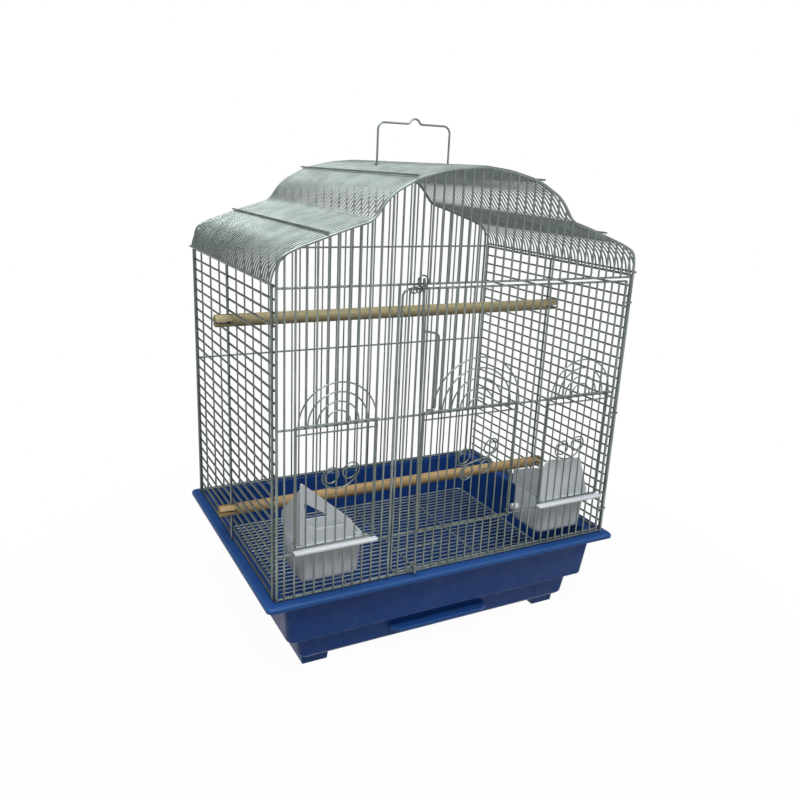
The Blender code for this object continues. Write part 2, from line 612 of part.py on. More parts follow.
# Latch: a rod with a bent lever, held by curled wire loops at the door's top and bottom
rod = rod_between("latch_rod", (LATCH_BOTTOM[0], LATCH_Y, LATCH_BOTTOM[1]),
                  (LATCH_TOP[0], LATCH_Y, LATCH_TOP[1]), LATCH_R, 8)
lever_path = [(LEVER_X - 0.0212, LEVER_TOP_Z + 0.0012), (LEVER_X - 0.0082, LEVER_TOP_Z - 0.0010),
              (LEVER_X - 0.0027, LEVER_TOP_Z - 0.0035), (LEVER_X, LEVER_TOP_Z - 0.0080),
              (LEVER_X, LEVER_BOTTOM_Z + 0.0030), (LEVER_X - 0.0022, LEVER_BOTTOM_Z),
              (LEVER_X - 0.0097, LEVER_BOTTOM_Z)]
combine(rod, wires("lever", [([(x, LATCH_Y, z) for x, z in lever_path], LEVER_R, False)]))
complete(rod, DARK_ZINC, latch_axis)


def rod_x(z):
    t = (z - LATCH_BOTTOM[1]) / (LATCH_TOP[1] - LATCH_BOTTOM[1])
    return LATCH_BOTTOM[0] + (LATCH_TOP[0] - LATCH_BOTTOM[0]) * t


def knot(name, z, curls):
    # A loop round the rod, and curls behind it placed from where the rod passes.
    x = rod_x(z)
    groups = [[ring((x, LATCH_Y, z), 0.0028, 0.0008, "Z")]]
    for dx, dz, r in curls:
        groups.append([ring((x + dx, LATCH_Y + 0.0037, z + dz), r, 0.0009, "Y")])
    complete(fused(name, groups), DARK_ZINC, door_axis, (x, LATCH_Y, z))


knot("latch_knot_top", DOOR_TOP_Z + 0.0029, ((0.0006, 0.0061, 0.0061), (-0.0038, -0.0024, 0.0036),
                                            (-0.0098, -0.0031, 0.0036)))
knot("latch_knot_bottom", DOOR_BOTTOM_Z + 0.0110, ((-0.0003, -0.0038, 0.0038), (-0.0065, -0.0012, 0.0036)))

# Perches with crossed slots at their ends, pushed over the side wires
row_slot = SIDE_ROW_R + GAP
post_slot = FRAME_R + GAP
for name, z, row, look in (("upper_perch", PERCH_UPPER_Z, UPPER_PERCH_ROW, PALE_WOOD),
                           ("lower_perch", PERCH_LOWER_Z, LOWER_PERCH_ROW, WARM_WOOD)):
    perch = rod_between(name, (-PERCH_HALF, 0.0, z), (PERCH_HALF, 0.0, z), PERCH_R, 16)
    row_z = EAVES_Z - ROW_PITCH * row
    slots = []
    for side, word in ((-1, "left"), (1, "right")):
        a, b = sorted((side * PERCH_SLOT_X, side * (PERCH_HALF + 0.003)))
        low, high = (a, -0.02, row_z - row_slot), (b, 0.02, row_z + row_slot)
        slots.append(block(name + "_flat_slot_" + word, low, high, cutters))
        low, high = (a, -post_slot, z - 0.02), (b, post_slot, z + 0.02)
        slots.append(block(name + "_tall_slot_" + word, low, high, cutters))
    complete(perch, look, cage, (0.0, 0.0, z))
    for slot in slots:
        slot.hide_render = True
        slot.display_type = "WIRE"
        cut = perch.modifiers.new(slot.name, "BOOLEAN")
        cut.operation = "DIFFERENCE"
        cut.solver = "EXACT"
        cut.object = slot

# Base tray: one tub with a stepped wall, a flange whose lip turns down, and feet
tray = shell("base_tray", [
    rounded(LOWER_BOTTOM[0] - 0.004, LOWER_BOTTOM[1] - 0.004, TUB_CORNER_R - 0.003, FLOOR_Z),
    rounded(LOWER_BOTTOM[0], LOWER_BOTTOM[1], TUB_CORNER_R, FLOOR_Z + 0.004),
    rounded(LOWER_TOP[0], LOWER_TOP[1], TUB_CORNER_R, STEP_Z - 0.001),
    rounded(UPPER_BOTTOM[0], UPPER_BOTTOM[1], TUB_CORNER_R, STEP_Z),
    rounded(UPPER_TOP[0], UPPER_TOP[1], TUB_CORNER_R, FLANGE_TOP_Z - WALL),
    rounded(BASE_HALF_W - WALL, BASE_HALF_D - WALL, FLANGE_CORNER_R, FLANGE_TOP_Z - WALL),
    rounded(BASE_HALF_W - WALL, BASE_HALF_D - WALL, FLANGE_CORNER_R, LIP_BOTTOM_Z)], WALL)


def foot(x_out, width, y0, y1):
    # A bar under the floor from y0 to y1, with sloped sides.
    x_in = x_out - width
    slope = 0.0030
    section = [(x_in, FLOOR_Z + 0.001), (x_out, FLOOR_Z + 0.001), (x_out - slope, 0.0), (x_in + slope, 0.0)]
    for side in (-1, 1):
        place = Matrix.Translation((0.0, (y0 + y1) / 2.0, 0.0)) @ FACING_FRONT
        combine(tray, plate("foot", [[(side * x, z) for x, z in section]], y1 - y0, place))


foot(LOWER_BOTTOM[0] - 0.0050, 0.0380, 0.0140 - LOWER_BOTTOM[1], RUNNER_BACK_Y)
foot(LOWER_BOTTOM[0] - 0.0220, 0.0200, LOWER_BOTTOM[1] - 0.0420, LOWER_BOTTOM[1] - 0.0160)
pull_y = -LOWER_BOTTOM[1]
pull = [(-0.0800, pull_y - 0.0005), (-0.0800, pull_y - 0.0080), (-0.0700, pull_y - 0.0150),
        (0.0500, pull_y - 0.0150), (0.0600, pull_y - 0.0080), (0.0600, pull_y - 0.0005)]
combine(tray, plate("pull", [pull], 0.0052, Matrix.Translation((0.0, 0.0, 0.0340))))
complete(tray, BLUE, cage, (0.0, 0.0, FLOOR_Z))

# Floor grille: many long wires in a frame, with a few cross wires over them
frame = [(rounded(GRILLE_HALF_W, GRILLE_HALF_D, 0.0080, GRILLE_Z, 2), GRILLE_FRAME_R, True)]
long_pitch = 2.0 * GRILLE_HALF_D / (GRILLE_LONG + 1)
long_wires = [across_x(-GRILLE_HALF_D + long_pitch * i, GRILLE_Z, -GRILLE_HALF_W, GRILLE_HALF_W, GRILLE_R)
              for i in range(1, GRILLE_LONG + 1)]
cross_pitch = 2.0 * GRILLE_HALF_W / (GRILLE_CROSS + 1)
cross_z = GRILLE_Z + 0.0016
cross_wires = [along_y(-GRILLE_HALF_W + cross_pitch * i, cross_z, -GRILLE_HALF_D, GRILLE_HALF_D, GRILLE_R)
               for i in range(1, GRILLE_CROSS + 1)]
grille = fused("floor_grille", [long_wires, frame, cross_wires])
complete(grille, FLOOR_ZINC, cage, (0.0, 0.0, GRILLE_Z))


# Feeder cups: a tub inside the bars with a ledge that comes out over the feeder rail
def cup(name, cx, parent, knob=False):
    cy = (CUP_FRONT_Y + CUP_BACK_Y) / 2.0
    hd = (CUP_BACK_Y - CUP_FRONT_Y) / 2.0
    made = shell(name, [rounded(CUP_HALF_W - 0.008, hd - 0.008, 0.006, CUP_BOTTOM_Z, 2, (cx, cy)),
                        rounded(CUP_HALF_W - 0.003, hd - 0.003, 0.009, CUP_BOTTOM_Z + 0.004, 2, (cx, cy)),
                        rounded(CUP_HALF_W, hd, 0.010, CUP_TOP_Z, 2, (cx, cy))], CUP_WALL)
    half_w = LEDGE_HALF_W
    neck = [(-NECK_HALF_W, CUP_FRONT_Y + 0.0012), (-NECK_HALF_W, LEDGE_BACK_Y), (-half_w, LEDGE_BACK_Y),
            (-half_w, LEDGE_FRONT_Y + 0.004), (-half_w + 0.004, LEDGE_FRONT_Y),
            (half_w - 0.004, LEDGE_FRONT_Y), (half_w, LEDGE_FRONT_Y + 0.004),
            (half_w, LEDGE_BACK_Y), (NECK_HALF_W, LEDGE_BACK_Y), (NECK_HALF_W, CUP_FRONT_Y + 0.0012)]
    combine(made, plate(name + "_ledge", [neck], LEDGE_THICK, Matrix.Translation((cx, 0.0, LEDGE_Z))))
    if knob:
        knob_x, knob_y, knob_z = cx - CUP_HALF_W, CUP_BACK_Y - 0.0125, 0.1470
        start, end = (knob_x - 0.0070, knob_y, knob_z), (knob_x + 0.0016, knob_y, knob_z)
        combine(made, rod_between("knob", start, end, 0.0050, 12))
    complete(made, WHITE, parent, (cx, cy, CUP_BOTTOM_Z))


def hood(name, cx, front, walls, parent):
    # A front wall towards the bars, and side walls whose top edges fall to the back. A wall is
    # its side, its height at the front and at the back, and how far its top leans inwards.
    z0 = CUP_TOP_Z + GAP
    y0 = CUP_FRONT_Y + GAP
    place = Matrix.Translation((cx, y0 + CUP_WALL / 2.0, z0)) @ FACING_FRONT
    made = plate(name, front, CUP_WALL, place)
    for side, front_tall, back_tall, lean in walls:
        angle = math.atan2(lean, front_tall)
        foot_z = 0.0001 + CUP_WALL * math.sin(angle)
        front_edge = y0 + 0.0004
        outline = [(front_edge, foot_z), (CUP_BACK_Y, foot_z), (CUP_BACK_Y, back_tall),
                   (front_edge, front_tall)]
        turn = Matrix.Rotation(-side * angle, 4, "Y")
        place = Matrix.Translation((cx + side * (HOOD_HALF_W - CUP_WALL / 2.0), 0.0, z0)) @ turn @ FACING_SIDE
        combine(made, plate(name + "_wall", [outline], CUP_WALL, place))
    complete(made, WHITE, parent, (cx, y0, z0))


cup("left_cup", -CUP_CENTRE_X, cage)
cup("right_cup", CUP_CENTRE_X, door_axis, knob=True)
half_w = HOOD_HALF_W
sloped_front = [(-half_w, 0.0), (-half_w, LEFT_HOOD_TALL), (-half_w + 0.0022, LEFT_HOOD_TALL),
                (0.0232, 0.0197), (0.0262, 0.0060), (half_w, 0.0)]
window = [(-half_w + 0.0045, 0.0500), (-half_w + 0.0072, 0.0245), (-0.0202, 0.0167), (0.0160, 0.0160)]
hood("left_hood", -CUP_CENTRE_X, [sloped_front, window], [(-1, 0.0675, 0.0158, 0.0)], cage)
closed_front = [(-half_w, 0.0), (-half_w, RIGHT_HOOD_TALL - 0.0080), (-half_w + 0.0075, RIGHT_HOOD_TALL),
                (half_w - 0.0185, RIGHT_HOOD_TALL - 0.0035), (half_w, 0.0)]
right_walls = [(-1, 0.0450, 0.0195, 0.0), (1, 0.0480, 0.0195, 0.0176)]
hood("right_hood", CUP_CENTRE_X, [closed_front], right_walls, door_axis)
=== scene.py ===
# The looks of the parrot cage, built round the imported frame: round wires, moulded plastic,
# turned wood, and the floor, lamps and camera. Metres, +Z up, front is -Y.
import math

import bmesh
import bpy
from mathutils import Matrix, Vector


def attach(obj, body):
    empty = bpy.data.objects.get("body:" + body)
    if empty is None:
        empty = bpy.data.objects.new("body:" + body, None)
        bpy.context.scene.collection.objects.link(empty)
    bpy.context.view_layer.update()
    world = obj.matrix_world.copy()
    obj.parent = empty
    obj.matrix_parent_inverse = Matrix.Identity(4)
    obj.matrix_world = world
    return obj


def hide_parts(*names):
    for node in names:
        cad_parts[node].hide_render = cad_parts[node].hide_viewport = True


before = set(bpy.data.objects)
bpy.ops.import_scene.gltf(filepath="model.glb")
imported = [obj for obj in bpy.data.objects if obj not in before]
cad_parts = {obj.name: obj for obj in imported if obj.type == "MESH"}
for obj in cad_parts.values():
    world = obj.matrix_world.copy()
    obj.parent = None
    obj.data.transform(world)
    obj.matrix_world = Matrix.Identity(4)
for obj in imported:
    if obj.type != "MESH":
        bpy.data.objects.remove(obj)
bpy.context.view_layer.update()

# Cage sizes, as in the CAD source. The wire box stands on the base's flange.
BASE_HALF_W = 0.2445
BASE_HALF_D = 0.1785
CAGE_INSET_W = 0.0140
CAGE_INSET_D = 0.0119
CAGE_HALF_W = BASE_HALF_W - CAGE_INSET_W
CAGE_HALF_D = BASE_HALF_D - CAGE_INSET_D
FLANGE_TOP_Z = 0.1136
PANEL_BOTTOM_Z = FLANGE_TOP_Z + 0.0022
EAVES_Z = 0.4637
FRONT_EAVES_Z = EAVES_Z - 0.0022
ROOF_RISE = 0.1203
PEAK_FLAT = 0.0030
PEAK_Z = EAVES_Z + ROOF_RISE

# Wire radii, and the gap between separate pieces
BAR_R = 0.0012
RAIL_R = 0.0013
FRAME_R = 0.0016
SIDE_ROW_R = 0.0013
ROOF_WIRE_R = 0.0010
TIE_R = 0.0011
SMALL_LEG_R = 0.0012
SMALL_R = 0.0009
HANDLE_R = 0.00125
LATCH_R = 0.0015
LEVER_R = 0.0012
EAVES_TIE_R = 0.00125
EYE_WIRE_R = 0.0011
LOOP_WIRE_R = 0.0008
SMALL_RAIL_R = 0.0010
GAP = 0.0003

# How far bars, rails and side rows run into what they are welded to
BAR_JOIN = 0.0008
RAIL_JOIN = 0.0010
RAIL_PAST_POST = 0.0006

# Wire positions
BAR_COUNT = 39
BAR_MARGIN = 0.0084
BAR_PITCH = 2.0 * (CAGE_HALF_W - BAR_MARGIN) / (BAR_COUNT - 1)
RAIL_INSET = 0.00185
SIDE_ROWS = 26
ROW_PITCH = (EAVES_Z - PANEL_BOTTOM_Z) / SIDE_ROWS
SIDE_X = CAGE_HALF_W + 0.0030
SIDE_POST_Y = CAGE_HALF_D - 0.0056
SIDE_ROW_INSET = 0.0021
ROOF_WIRES = 47
ROOF_HALF_D = CAGE_HALF_D - 0.0034
ROOF_LIFT = 0.0014
ROOF_TIE_X = (0.1766, 0.0786)
TIE_OVERHANG = 0.0034

# Front layout
MID_RAIL_Z = 0.3134
BACK_RAIL_Z = 0.3145
FEEDER_RAIL_Z = 0.1686
FIXED_POST_X = -8.0 * BAR_PITCH - 0.0010
DOOR_LEFT_X = FIXED_POST_X + 0.0050
DOOR_RIGHT_X = CAGE_HALF_W - 0.0090
DOOR_TOP_Z = FRONT_EAVES_Z - 0.0050
DOOR_BOTTOM_Z = PANEL_BOTTOM_Z + 0.0037
DOOR_CORNER_R = 0.0085
HINGE_LOOP_Z = (0.1500, 0.2850, 0.4300)
LOOP_POST_R = 0.0028
LOOP_DOOR_R = 0.0018
RUNG_Z = 0.1478
RUNG_BEAD_R = 0.0022

# Small doors
SMALL_DOOR_Y = -CAGE_HALF_D - BAR_R - SMALL_LEG_R - GAP
SMALL_RAIL_Y = SMALL_DOOR_Y - 0.0015
ORNAMENT_Y = SMALL_DOOR_Y - 0.0023
SIDE_DOOR_BOTTOM_Z = 0.1782
CENTRE_DOOR_BOTTOM_Z = 0.1702
SMALL_TOP_Z = 0.3085
LEGS_PAST_RAIL = 0.0070
GUIDE_RING_Z = 0.0045
GUIDE_RING_R = 0.0021
GUIDE_WIRE_R = 0.0007
ARCH_BASE_Z = 0.3178
SCROLL_Z = 0.2500
SCROLL_HALF_GAP = 0.0110
ARCH_RADII_SIDE = [4.0 * BAR_PITCH - inset for inset in (0.0018, 0.0123, 0.0228, 0.0328)]
ARCH_RADII_CENTRE = [5.5 * BAR_PITCH - inset for inset in (0.0053, 0.0178, 0.0298, 0.0418, 0.0533)]

# Latch
LATCH_Y = ORNAMENT_Y - 0.0032
LATCH_TOP = (DOOR_LEFT_X + 0.0196, DOOR_TOP_Z + 0.0125)
LATCH_BOTTOM = (DOOR_LEFT_X + 0.0270, DOOR_BOTTOM_Z - 0.0005)
LEVER_TOP_Z = 0.4110
LEVER_X = LATCH_BOTTOM[0] + 0.0147
LEVER_BOTTOM_Z = 0.3215
KNOT_LOOP_R = 0.0028
CURL_BACK = 0.0037

# Perches, each notched over one row of the side panels
PERCH_R = 0.0076
PERCH_OVERHANG = 0.0160
PERCH_HALF = SIDE_X + PERCH_OVERHANG
PERCH_SLOT_X = SIDE_X - 0.0045
END_ROUND = 0.0012
DOWEL_STEPS = 24
CUT_ACROSS = 0.0400
UPPER_PERCH_ROW = 5
LOWER_PERCH_ROW = 23
PERCH_UPPER_Z = EAVES_Z - UPPER_PERCH_ROW * ROW_PITCH + 0.0017
PERCH_LOWER_Z = EAVES_Z - LOWER_PERCH_ROW * ROW_PITCH - 0.0004

# Carry handle, a little to the right of the middle
HANDLE_X = 0.0040
HANDLE_HALF = 0.0500
HANDLE_PIVOT_Z = PEAK_Z - 0.0050
HANDLE_EYE_R = 0.0038
HANDLE_RISE = 0.0515
HANDLE_HUMP = 0.0062
HANDLE_TOP_Z = HANDLE_PIVOT_Z + HANDLE_RISE
HANDLE_HUMP_Z = HANDLE_TOP_Z + HANDLE_HUMP

# Base tray
WALL = 0.0020
LIP_BOTTOM_Z = FLANGE_TOP_Z - 0.0058
UPPER_TOP = (BASE_HALF_W - 0.0241, BASE_HALF_D - 0.0139)
UPPER_BOTTOM = (BASE_HALF_W - 0.0306, BASE_HALF_D - 0.0193)
STEP_Z = 0.0513
LOWER_TOP = (BASE_HALF_W - 0.0455, BASE_HALF_D - 0.0299)
LOWER_BOTTOM = (BASE_HALF_W - 0.0500, BASE_HALF_D - 0.0329)
FLOOR_Z = 0.0165
FLANGE_CORNER_R = 0.0050
TUB_CORNER_R = 0.0090
RUNNER_BACK_Y = 0.0600
FOOT_SLOPE = 0.0030
PULL_Z = 0.0340
PULL_THICK = 0.0052

# Floor grille, lying on the step in the tray's wall
GRILLE_R = 0.0010
GRILLE_FRAME_R = 0.00125
GRILLE_HALF_W = LOWER_TOP[0] + 0.0060
GRILLE_HALF_D = LOWER_TOP[1] + 0.0030
GRILLE_LONG = 31
GRILLE_CROSS = 3
GRILLE_CORNER_R = 0.0080
CROSS_LIFT = 0.0016
GRILLE_Z = STEP_Z + WALL + GRILLE_FRAME_R + GAP

# Feeder cups
CUP_CENTRE_X = 14.0 * BAR_PITCH
CUP_HALF_W = 0.0390
CUP_FRONT_Y = -CAGE_HALF_D + 0.0038
CUP_BACK_Y = CUP_FRONT_Y + 0.0618
CUP_TOP_Z = 0.1765
CUP_BOTTOM_Z = 0.1250
CUP_WALL = 0.0018
NECK_HALF_W = 4.0 * BAR_PITCH - 0.0038
LEDGE_HALF_W = 0.0500
LEDGE_BACK_Y = -CAGE_HALF_D - 0.0026
LEDGE_FRONT_Y = LEDGE_BACK_Y - 0.0088
LEDGE_Z = 0.1740
LEDGE_THICK = 0.0034
HOOD_HALF_W = CUP_HALF_W - 0.0002
LEFT_HOOD_TALL = 0.0729
RIGHT_HOOD_TALL = 0.0541

# Bends and rounded rims that only the looks have
GABLE_BEND = 0.0090
HANDLE_BEND = 0.0090
HUMP_BEND = 0.0020
LEVER_BEND = 0.0060
TRAY_BEND = 0.0018
PULL_BEND = 0.0040
CUP_BEND = 0.0030
LEDGE_BEND = 0.0030
WINDOW_BEND = 0.0030
HOOD_BEND = 0.0020
THICK_RIM = 0.0008
THIN_RIM = 0.0005
ARCH_STEPS_PER_METRE = 600

collection = bpy.data.collections.new("looks")
bpy.context.scene.collection.children.link(collection)


# Materials
class Nodes:
    def __init__(self, name, colour, metallic, roughness):
        self.material = bpy.data.materials.new(name)
        self.material.use_nodes = True
        self.tree = self.material.node_tree
        self.shader = self.tree.nodes["Principled BSDF"]
        self.colour = (*colour, 1.0)
        self.shader.inputs["Base Color"].default_value = self.colour
        self.shader.inputs["Metallic"].default_value = metallic
        self.shader.inputs["Roughness"].default_value = roughness
        self.material.diffuse_color = self.colour
        self.place = self.tree.nodes.new("ShaderNodeTexCoord").outputs["Object"]
        self.height = None

    def noise(self, scale, detail=3.0, stretch=(1.0, 1.0, 1.0)):
        mapping = self.tree.nodes.new("ShaderNodeMapping")
        mapping.inputs["Scale"].default_value = stretch
        self.tree.links.new(self.place, mapping.inputs["Vector"])
        noise = self.tree.nodes.new("ShaderNodeTexNoise")
        noise.inputs["Scale"].default_value = scale
        noise.inputs["Detail"].default_value = detail
        self.tree.links.new(mapping.outputs["Vector"], noise.inputs["Vector"])
        return noise.outputs["Fac"]

    def pointiness(self, low, high):
        geometry = self.tree.nodes.new("ShaderNodeNewGeometry")
        return self.remap(geometry.outputs["Pointiness"], low, high, 0.0, 1.0)

    def remap(self, source, low, high, out_low, out_high):
        node = self.tree.nodes.new("ShaderNodeMapRange")
        node.inputs["From Min"].default_value = low
        node.inputs["From Max"].default_value = high
        node.inputs["To Min"].default_value = out_low
        node.inputs["To Max"].default_value = out_high
        self.tree.links.new(source, node.inputs["Value"])
        return node.outputs["Result"]

    def paint(self, factor, colour):
        # Mixes another colour over what is there so far, by the factor.
        mix = self.tree.nodes.new("ShaderNodeMix")
        mix.data_type = "RGBA"
        base = self.shader.inputs["Base Color"]
        if base.is_linked:
            self.tree.links.new(base.links[0].from_socket, mix.inputs["A"])
        else:
            mix.inputs["A"].default_value = self.colour
        mix.inputs["B"].default_value = (*colour, 1.0)
        self.tree.links.new(factor, mix.inputs["Factor"])
        self.tree.links.new(mix.outputs["Result"], base)

    def rough(self, source, out_low, out_high):
        self.tree.links.new(self.remap(source, 0.3, 0.7, out_low, out_high),
                            self.shader.inputs["Roughness"])

    def bump(self, source, distance, strength=1.0):
        node = self.tree.nodes.new("ShaderNodeBump")
        node.inputs["Strength"].default_value = strength
        node.inputs["Distance"].default_value = distance
        self.tree.links.new(source, node.inputs["Height"])
        normal = self.shader.inputs["Normal"]
        if normal.is_linked:
            self.tree.links.new(normal.links[0].from_socket, node.inputs["Normal"])
        self.tree.links.new(node.outputs["Normal"], normal)


def zinc(name, colour, dull, roughness):
    # Electroplated wire: cloudy grey, duller in patches, with fine drawing marks.
    look = Nodes(name, colour, 0.80, roughness)
    look.paint(look.remap(look.noise(38.0, 4.0), 0.42, 0.66, 0.0, 0.8), dull)
    bright = tuple(min(1.0, c * 1.35) for c in colour)
    look.paint(look.remap(look.noise(310.0, 2.0), 0.60, 0.78, 0.0, 0.5), bright)
    look.rough(look.noise(120.0, 3.0), roughness - 0.08, roughness + 0.14)
    look.bump(look.noise(900.0, 2.0), 0.00006, 0.5)
    return look.material


def moulded(name, colour, pale, roughness, grain):
    # Injection-moulded plastic: fine grain, slow colour drift, edges rubbed a little pale.
    look = Nodes(name, colour, 0.0, roughness)
    drift = tuple(c * 0.82 for c in colour)
    look.paint(look.remap(look.noise(9.0, 3.0), 0.35, 0.70, 0.0, 0.7), drift)
    look.paint(look.remap(look.noise(170.0, 4.0, (1.0, 1.0, 0.25)), 0.62, 0.80, 0.0, 0.25), pale)
    look.paint(look.pointiness(0.515, 0.60), pale)
    look.rough(look.noise(60.0, 4.0), roughness - 0.06, roughness + 0.12)
    look.bump(look.noise(grain, 2.0), 0.00008, 0.45)
    look.bump(look.noise(14.0, 2.0), 0.0006, 0.20)
    return look.material


def wood(name, colour, grain_colour, ring_colour):
    # A turned dowel: long grain along X, darker streaks, small pores and an open end grain.
    look = Nodes(name, colour, 0.0, 0.62)
    look.paint(look.remap(look.noise(30.0, 5.0, (0.12, 3.0, 3.0)), 0.40, 0.68, 0.0, 0.75), grain_colour)
    look.paint(look.remap(look.noise(95.0, 3.0, (0.05, 4.0, 4.0)), 0.55, 0.72, 0.0, 0.6), ring_colour)
    look.paint(look.remap(look.noise(7.0, 2.0, (1.0, 0.4, 0.4)), 0.50, 0.75, 0.0, 0.5), grain_colour)
    look.rough(look.noise(80.0, 3.0, (0.2, 2.0, 2.0)), 0.52, 0.74)
    look.bump(look.noise(140.0, 4.0, (0.06, 3.0, 3.0)), 0.00035, 0.6)
    return look.material


ZINC = zinc("zinc_wire_look", (0.255, 0.295, 0.275), (0.165, 0.198, 0.182), 0.36)
DARK_ZINC = zinc("dark_zinc_look", (0.185, 0.218, 0.200), (0.118, 0.142, 0.130), 0.34)
FLOOR_ZINC = zinc("floor_wire_look", (0.430, 0.480, 0.450), (0.300, 0.345, 0.320), 0.40)
BLUE = moulded("blue_plastic_look", (0.007, 0.046, 0.205), (0.055, 0.165, 0.370), 0.42, 1500.0)
WHITE = moulded("white_plastic_look", (0.56, 0.60, 0.64), (0.76, 0.79, 0.82), 0.34, 1300.0)
BLUE.node_tree.nodes["Principled BSDF"].inputs["Specular IOR Level"].default_value = 0.20
WHITE.node_tree.nodes["Principled BSDF"].inputs["Subsurface Weight"].default_value = 0.12
WHITE.node_tree.nodes["Principled BSDF"].inputs["Subsurface Scale"].default_value = 0.004
PALE_WOOD = wood("pale_wood_look", (0.380, 0.335, 0.190), (0.270, 0.225, 0.115), (0.200, 0.155, 0.075))
WARM_WOOD = wood("warm_wood_look", (0.430, 0.300, 0.140), (0.320, 0.205, 0.080), (0.225, 0.135, 0.050))


# Shapes
def bent(points, radius, steps=5):
    # Rounds the inner corners of a line of points of any dimension.
    points = [tuple(p) for p in points]
    out = [points[0]]
    for before, here, after in zip(points, points[1:], points[2:]):
        back = [a - b for a, b in zip(before, here)]
        ahead = [a - b for a, b in zip(after, here)]
        back_len = math.sqrt(sum(c * c for c in back))
        ahead_len = math.sqrt(sum(c * c for c in ahead))
        reach = min(radius, back_len * 0.48, ahead_len * 0.48)
        first = [h + c * reach / back_len for h, c in zip(here, back)]
        last = [h + c * reach / ahead_len for h, c in zip(here, ahead)]
        for i in range(steps + 1):
            t = i / steps
            out.append(tuple((1 - t) ** 2 * a + 2 * t * (1 - t) * b + t * t * c
                             for a, b, c in zip(first, here, last)))
    out.append(points[-1])
    return out


def adopt(made, material, body, node):
    made.data.materials.clear()
    made.data.materials.append(material)
    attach(made, body)
    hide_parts(node)


def wires(name, runs, material, body, node, sides=2):
    # Round wires as one bevelled curve. Each run is its points, its radius, and whether it closes.
    curve = bpy.data.curves.new(name, "CURVE")
    curve.dimensions = "3D"
    curve.bevel_depth = BAR_R
    curve.bevel_resolution = sides
    curve.use_fill_caps = True
    for points, radius, closed in runs:
        spline = curve.splines.new("POLY")
        spline.points.add(len(points) - 1)
        for point, place in zip(spline.points, points):
            point.co = (place[0], place[1], place[2], 1.0)
            point.radius = radius / BAR_R
        spline.use_cyclic_u = closed
    made = bpy.data.objects.new(name, curve)
    collection.objects.link(made)
    adopt(made, material, body, node)


def upright(x, y, z0, z1, r):
    return [(x, y, z0), (x, y, z1)], r, False


def across_x(y, z, x0, x1, r):
    return [(x0, y, z), (x1, y, z)], r, False


def along_y(x, z, y0, y1, r):
    return [(x, y0, z), (x, y1, z)], r, False


def arc(cx, cz, r, a0, a1, n):
    out = []
    for i in range(n + 1):
        a = math.radians(a0 + (a1 - a0) * i / n)
        out.append((cx + r * math.cos(a), cz + r * math.sin(a)))
    return out


def ring(centre, big, small, normal, n=20):
    pts = []
    for i in range(n):
        a = 2.0 * math.pi * i / n
        c, s = big * math.cos(a), big * math.sin(a)
        offset = {"X": (0.0, c, s), "Y": (c, 0.0, s), "Z": (c, s, 0.0)}[normal]
        pts.append(tuple(p + q for p, q in zip(centre, offset)))
    return pts, small, True


def bar_x(k):
    return BAR_PITCH * (k - (BAR_COUNT + 1) / 2.0)


def mesh_piece(name, mesh, angle=35.0):
    data = bpy.data.meshes.new(name)
    mesh.to_mesh(data)
    mesh.free()
    data.shade_smooth()
    data.set_sharp_from_angle(angle=math.radians(angle))
    made = bpy.data.objects.new(name, data)
    collection.objects.link(made)
    return made


def rounded(hw, hd, r, z, steps=12, centre=(0.0, 0.0)):
    out = []
    x, y = hw - r, hd - r
    corners = ((x, y, 0), (-x, y, 90), (-x, -y, 180), (x, -y, 270))
    for cx, cy, first in corners:
        for i in range(steps + 1):
            a = math.radians(first + 90.0 * i / steps)
            out.append((centre[0] + cx + r * math.cos(a), centre[1] + cy + r * math.sin(a), z))
    return out


def tub(name, sections, thickness, centre=(0.0, 0.0), steps=12):
    # Sections are half width, half depth, corner radius and height, from the floor outwards.
    # The wall grows inwards from them.
    mesh = bmesh.new()
    rows = []
    for hw, hd, r, z in sections:
        rows.append([mesh.verts.new(p) for p in rounded(hw, hd, r, z, steps, centre)])
    floor = mesh.faces.new(rows[0])
    n = len(rows[0])
    for lower, upper in zip(rows, rows[1:]):
        for i in range(n):
            mesh.faces.new((lower[i - 1], lower[i], upper[i], upper[i - 1]))
    bmesh.ops.recalc_face_normals(mesh, faces=mesh.faces)
    mesh.normal_update()
    if floor.normal.z > 0:
        bmesh.ops.reverse_faces(mesh, faces=mesh.faces)
    made = mesh_piece(name, mesh, 50.0)
    wall = made.modifiers.new("wall", "SOLIDIFY")
    wall.thickness = thickness
    wall.offset = -1.0
    wall.use_even_offset = True
    edge = made.modifiers.new("edge", "BEVEL")
    edge.width = thickness * 0.28
    edge.segments = 2
    edge.limit_method = "ANGLE"
    edge.angle_limit = math.radians(50)
    return to_mesh(made)


def wound(loop, left):
    # The loop in the wanted sense: leftwards for a rim, rightwards for a hole.
    area = sum(a[0] * b[1] - b[0] * a[1] for a, b in zip(loop, loop[1:] + loop[:1]))
    return loop if (area > 0) == left else loop[::-1]


def slab(name, outline, thickness, matrix, bevel, holes=()):
    # A flat plate with rounded rims, its outline in local XY.
    curve = bpy.data.curves.new(name, "CURVE")
    curve.dimensions = "2D"
    curve.fill_mode = "BOTH"
    curve.extrude = thickness / 2.0 - bevel
    curve.bevel_depth = bevel
    curve.bevel_resolution = 2
    curve.offset = -bevel
    for loop in [wound(outline, True)] + [wound(hole, False) for hole in holes]:
        spline = curve.splines.new("POLY")
        spline.points.add(len(loop) - 1)
        for point, place in zip(spline.points, loop):
            point.co = (place[0], place[1], 0.0, 1.0)
        spline.use_cyclic_u = True
    made = bpy.data.objects.new(name, curve)
    collection.objects.link(made)
    made.matrix_world = matrix
    return to_mesh(made)


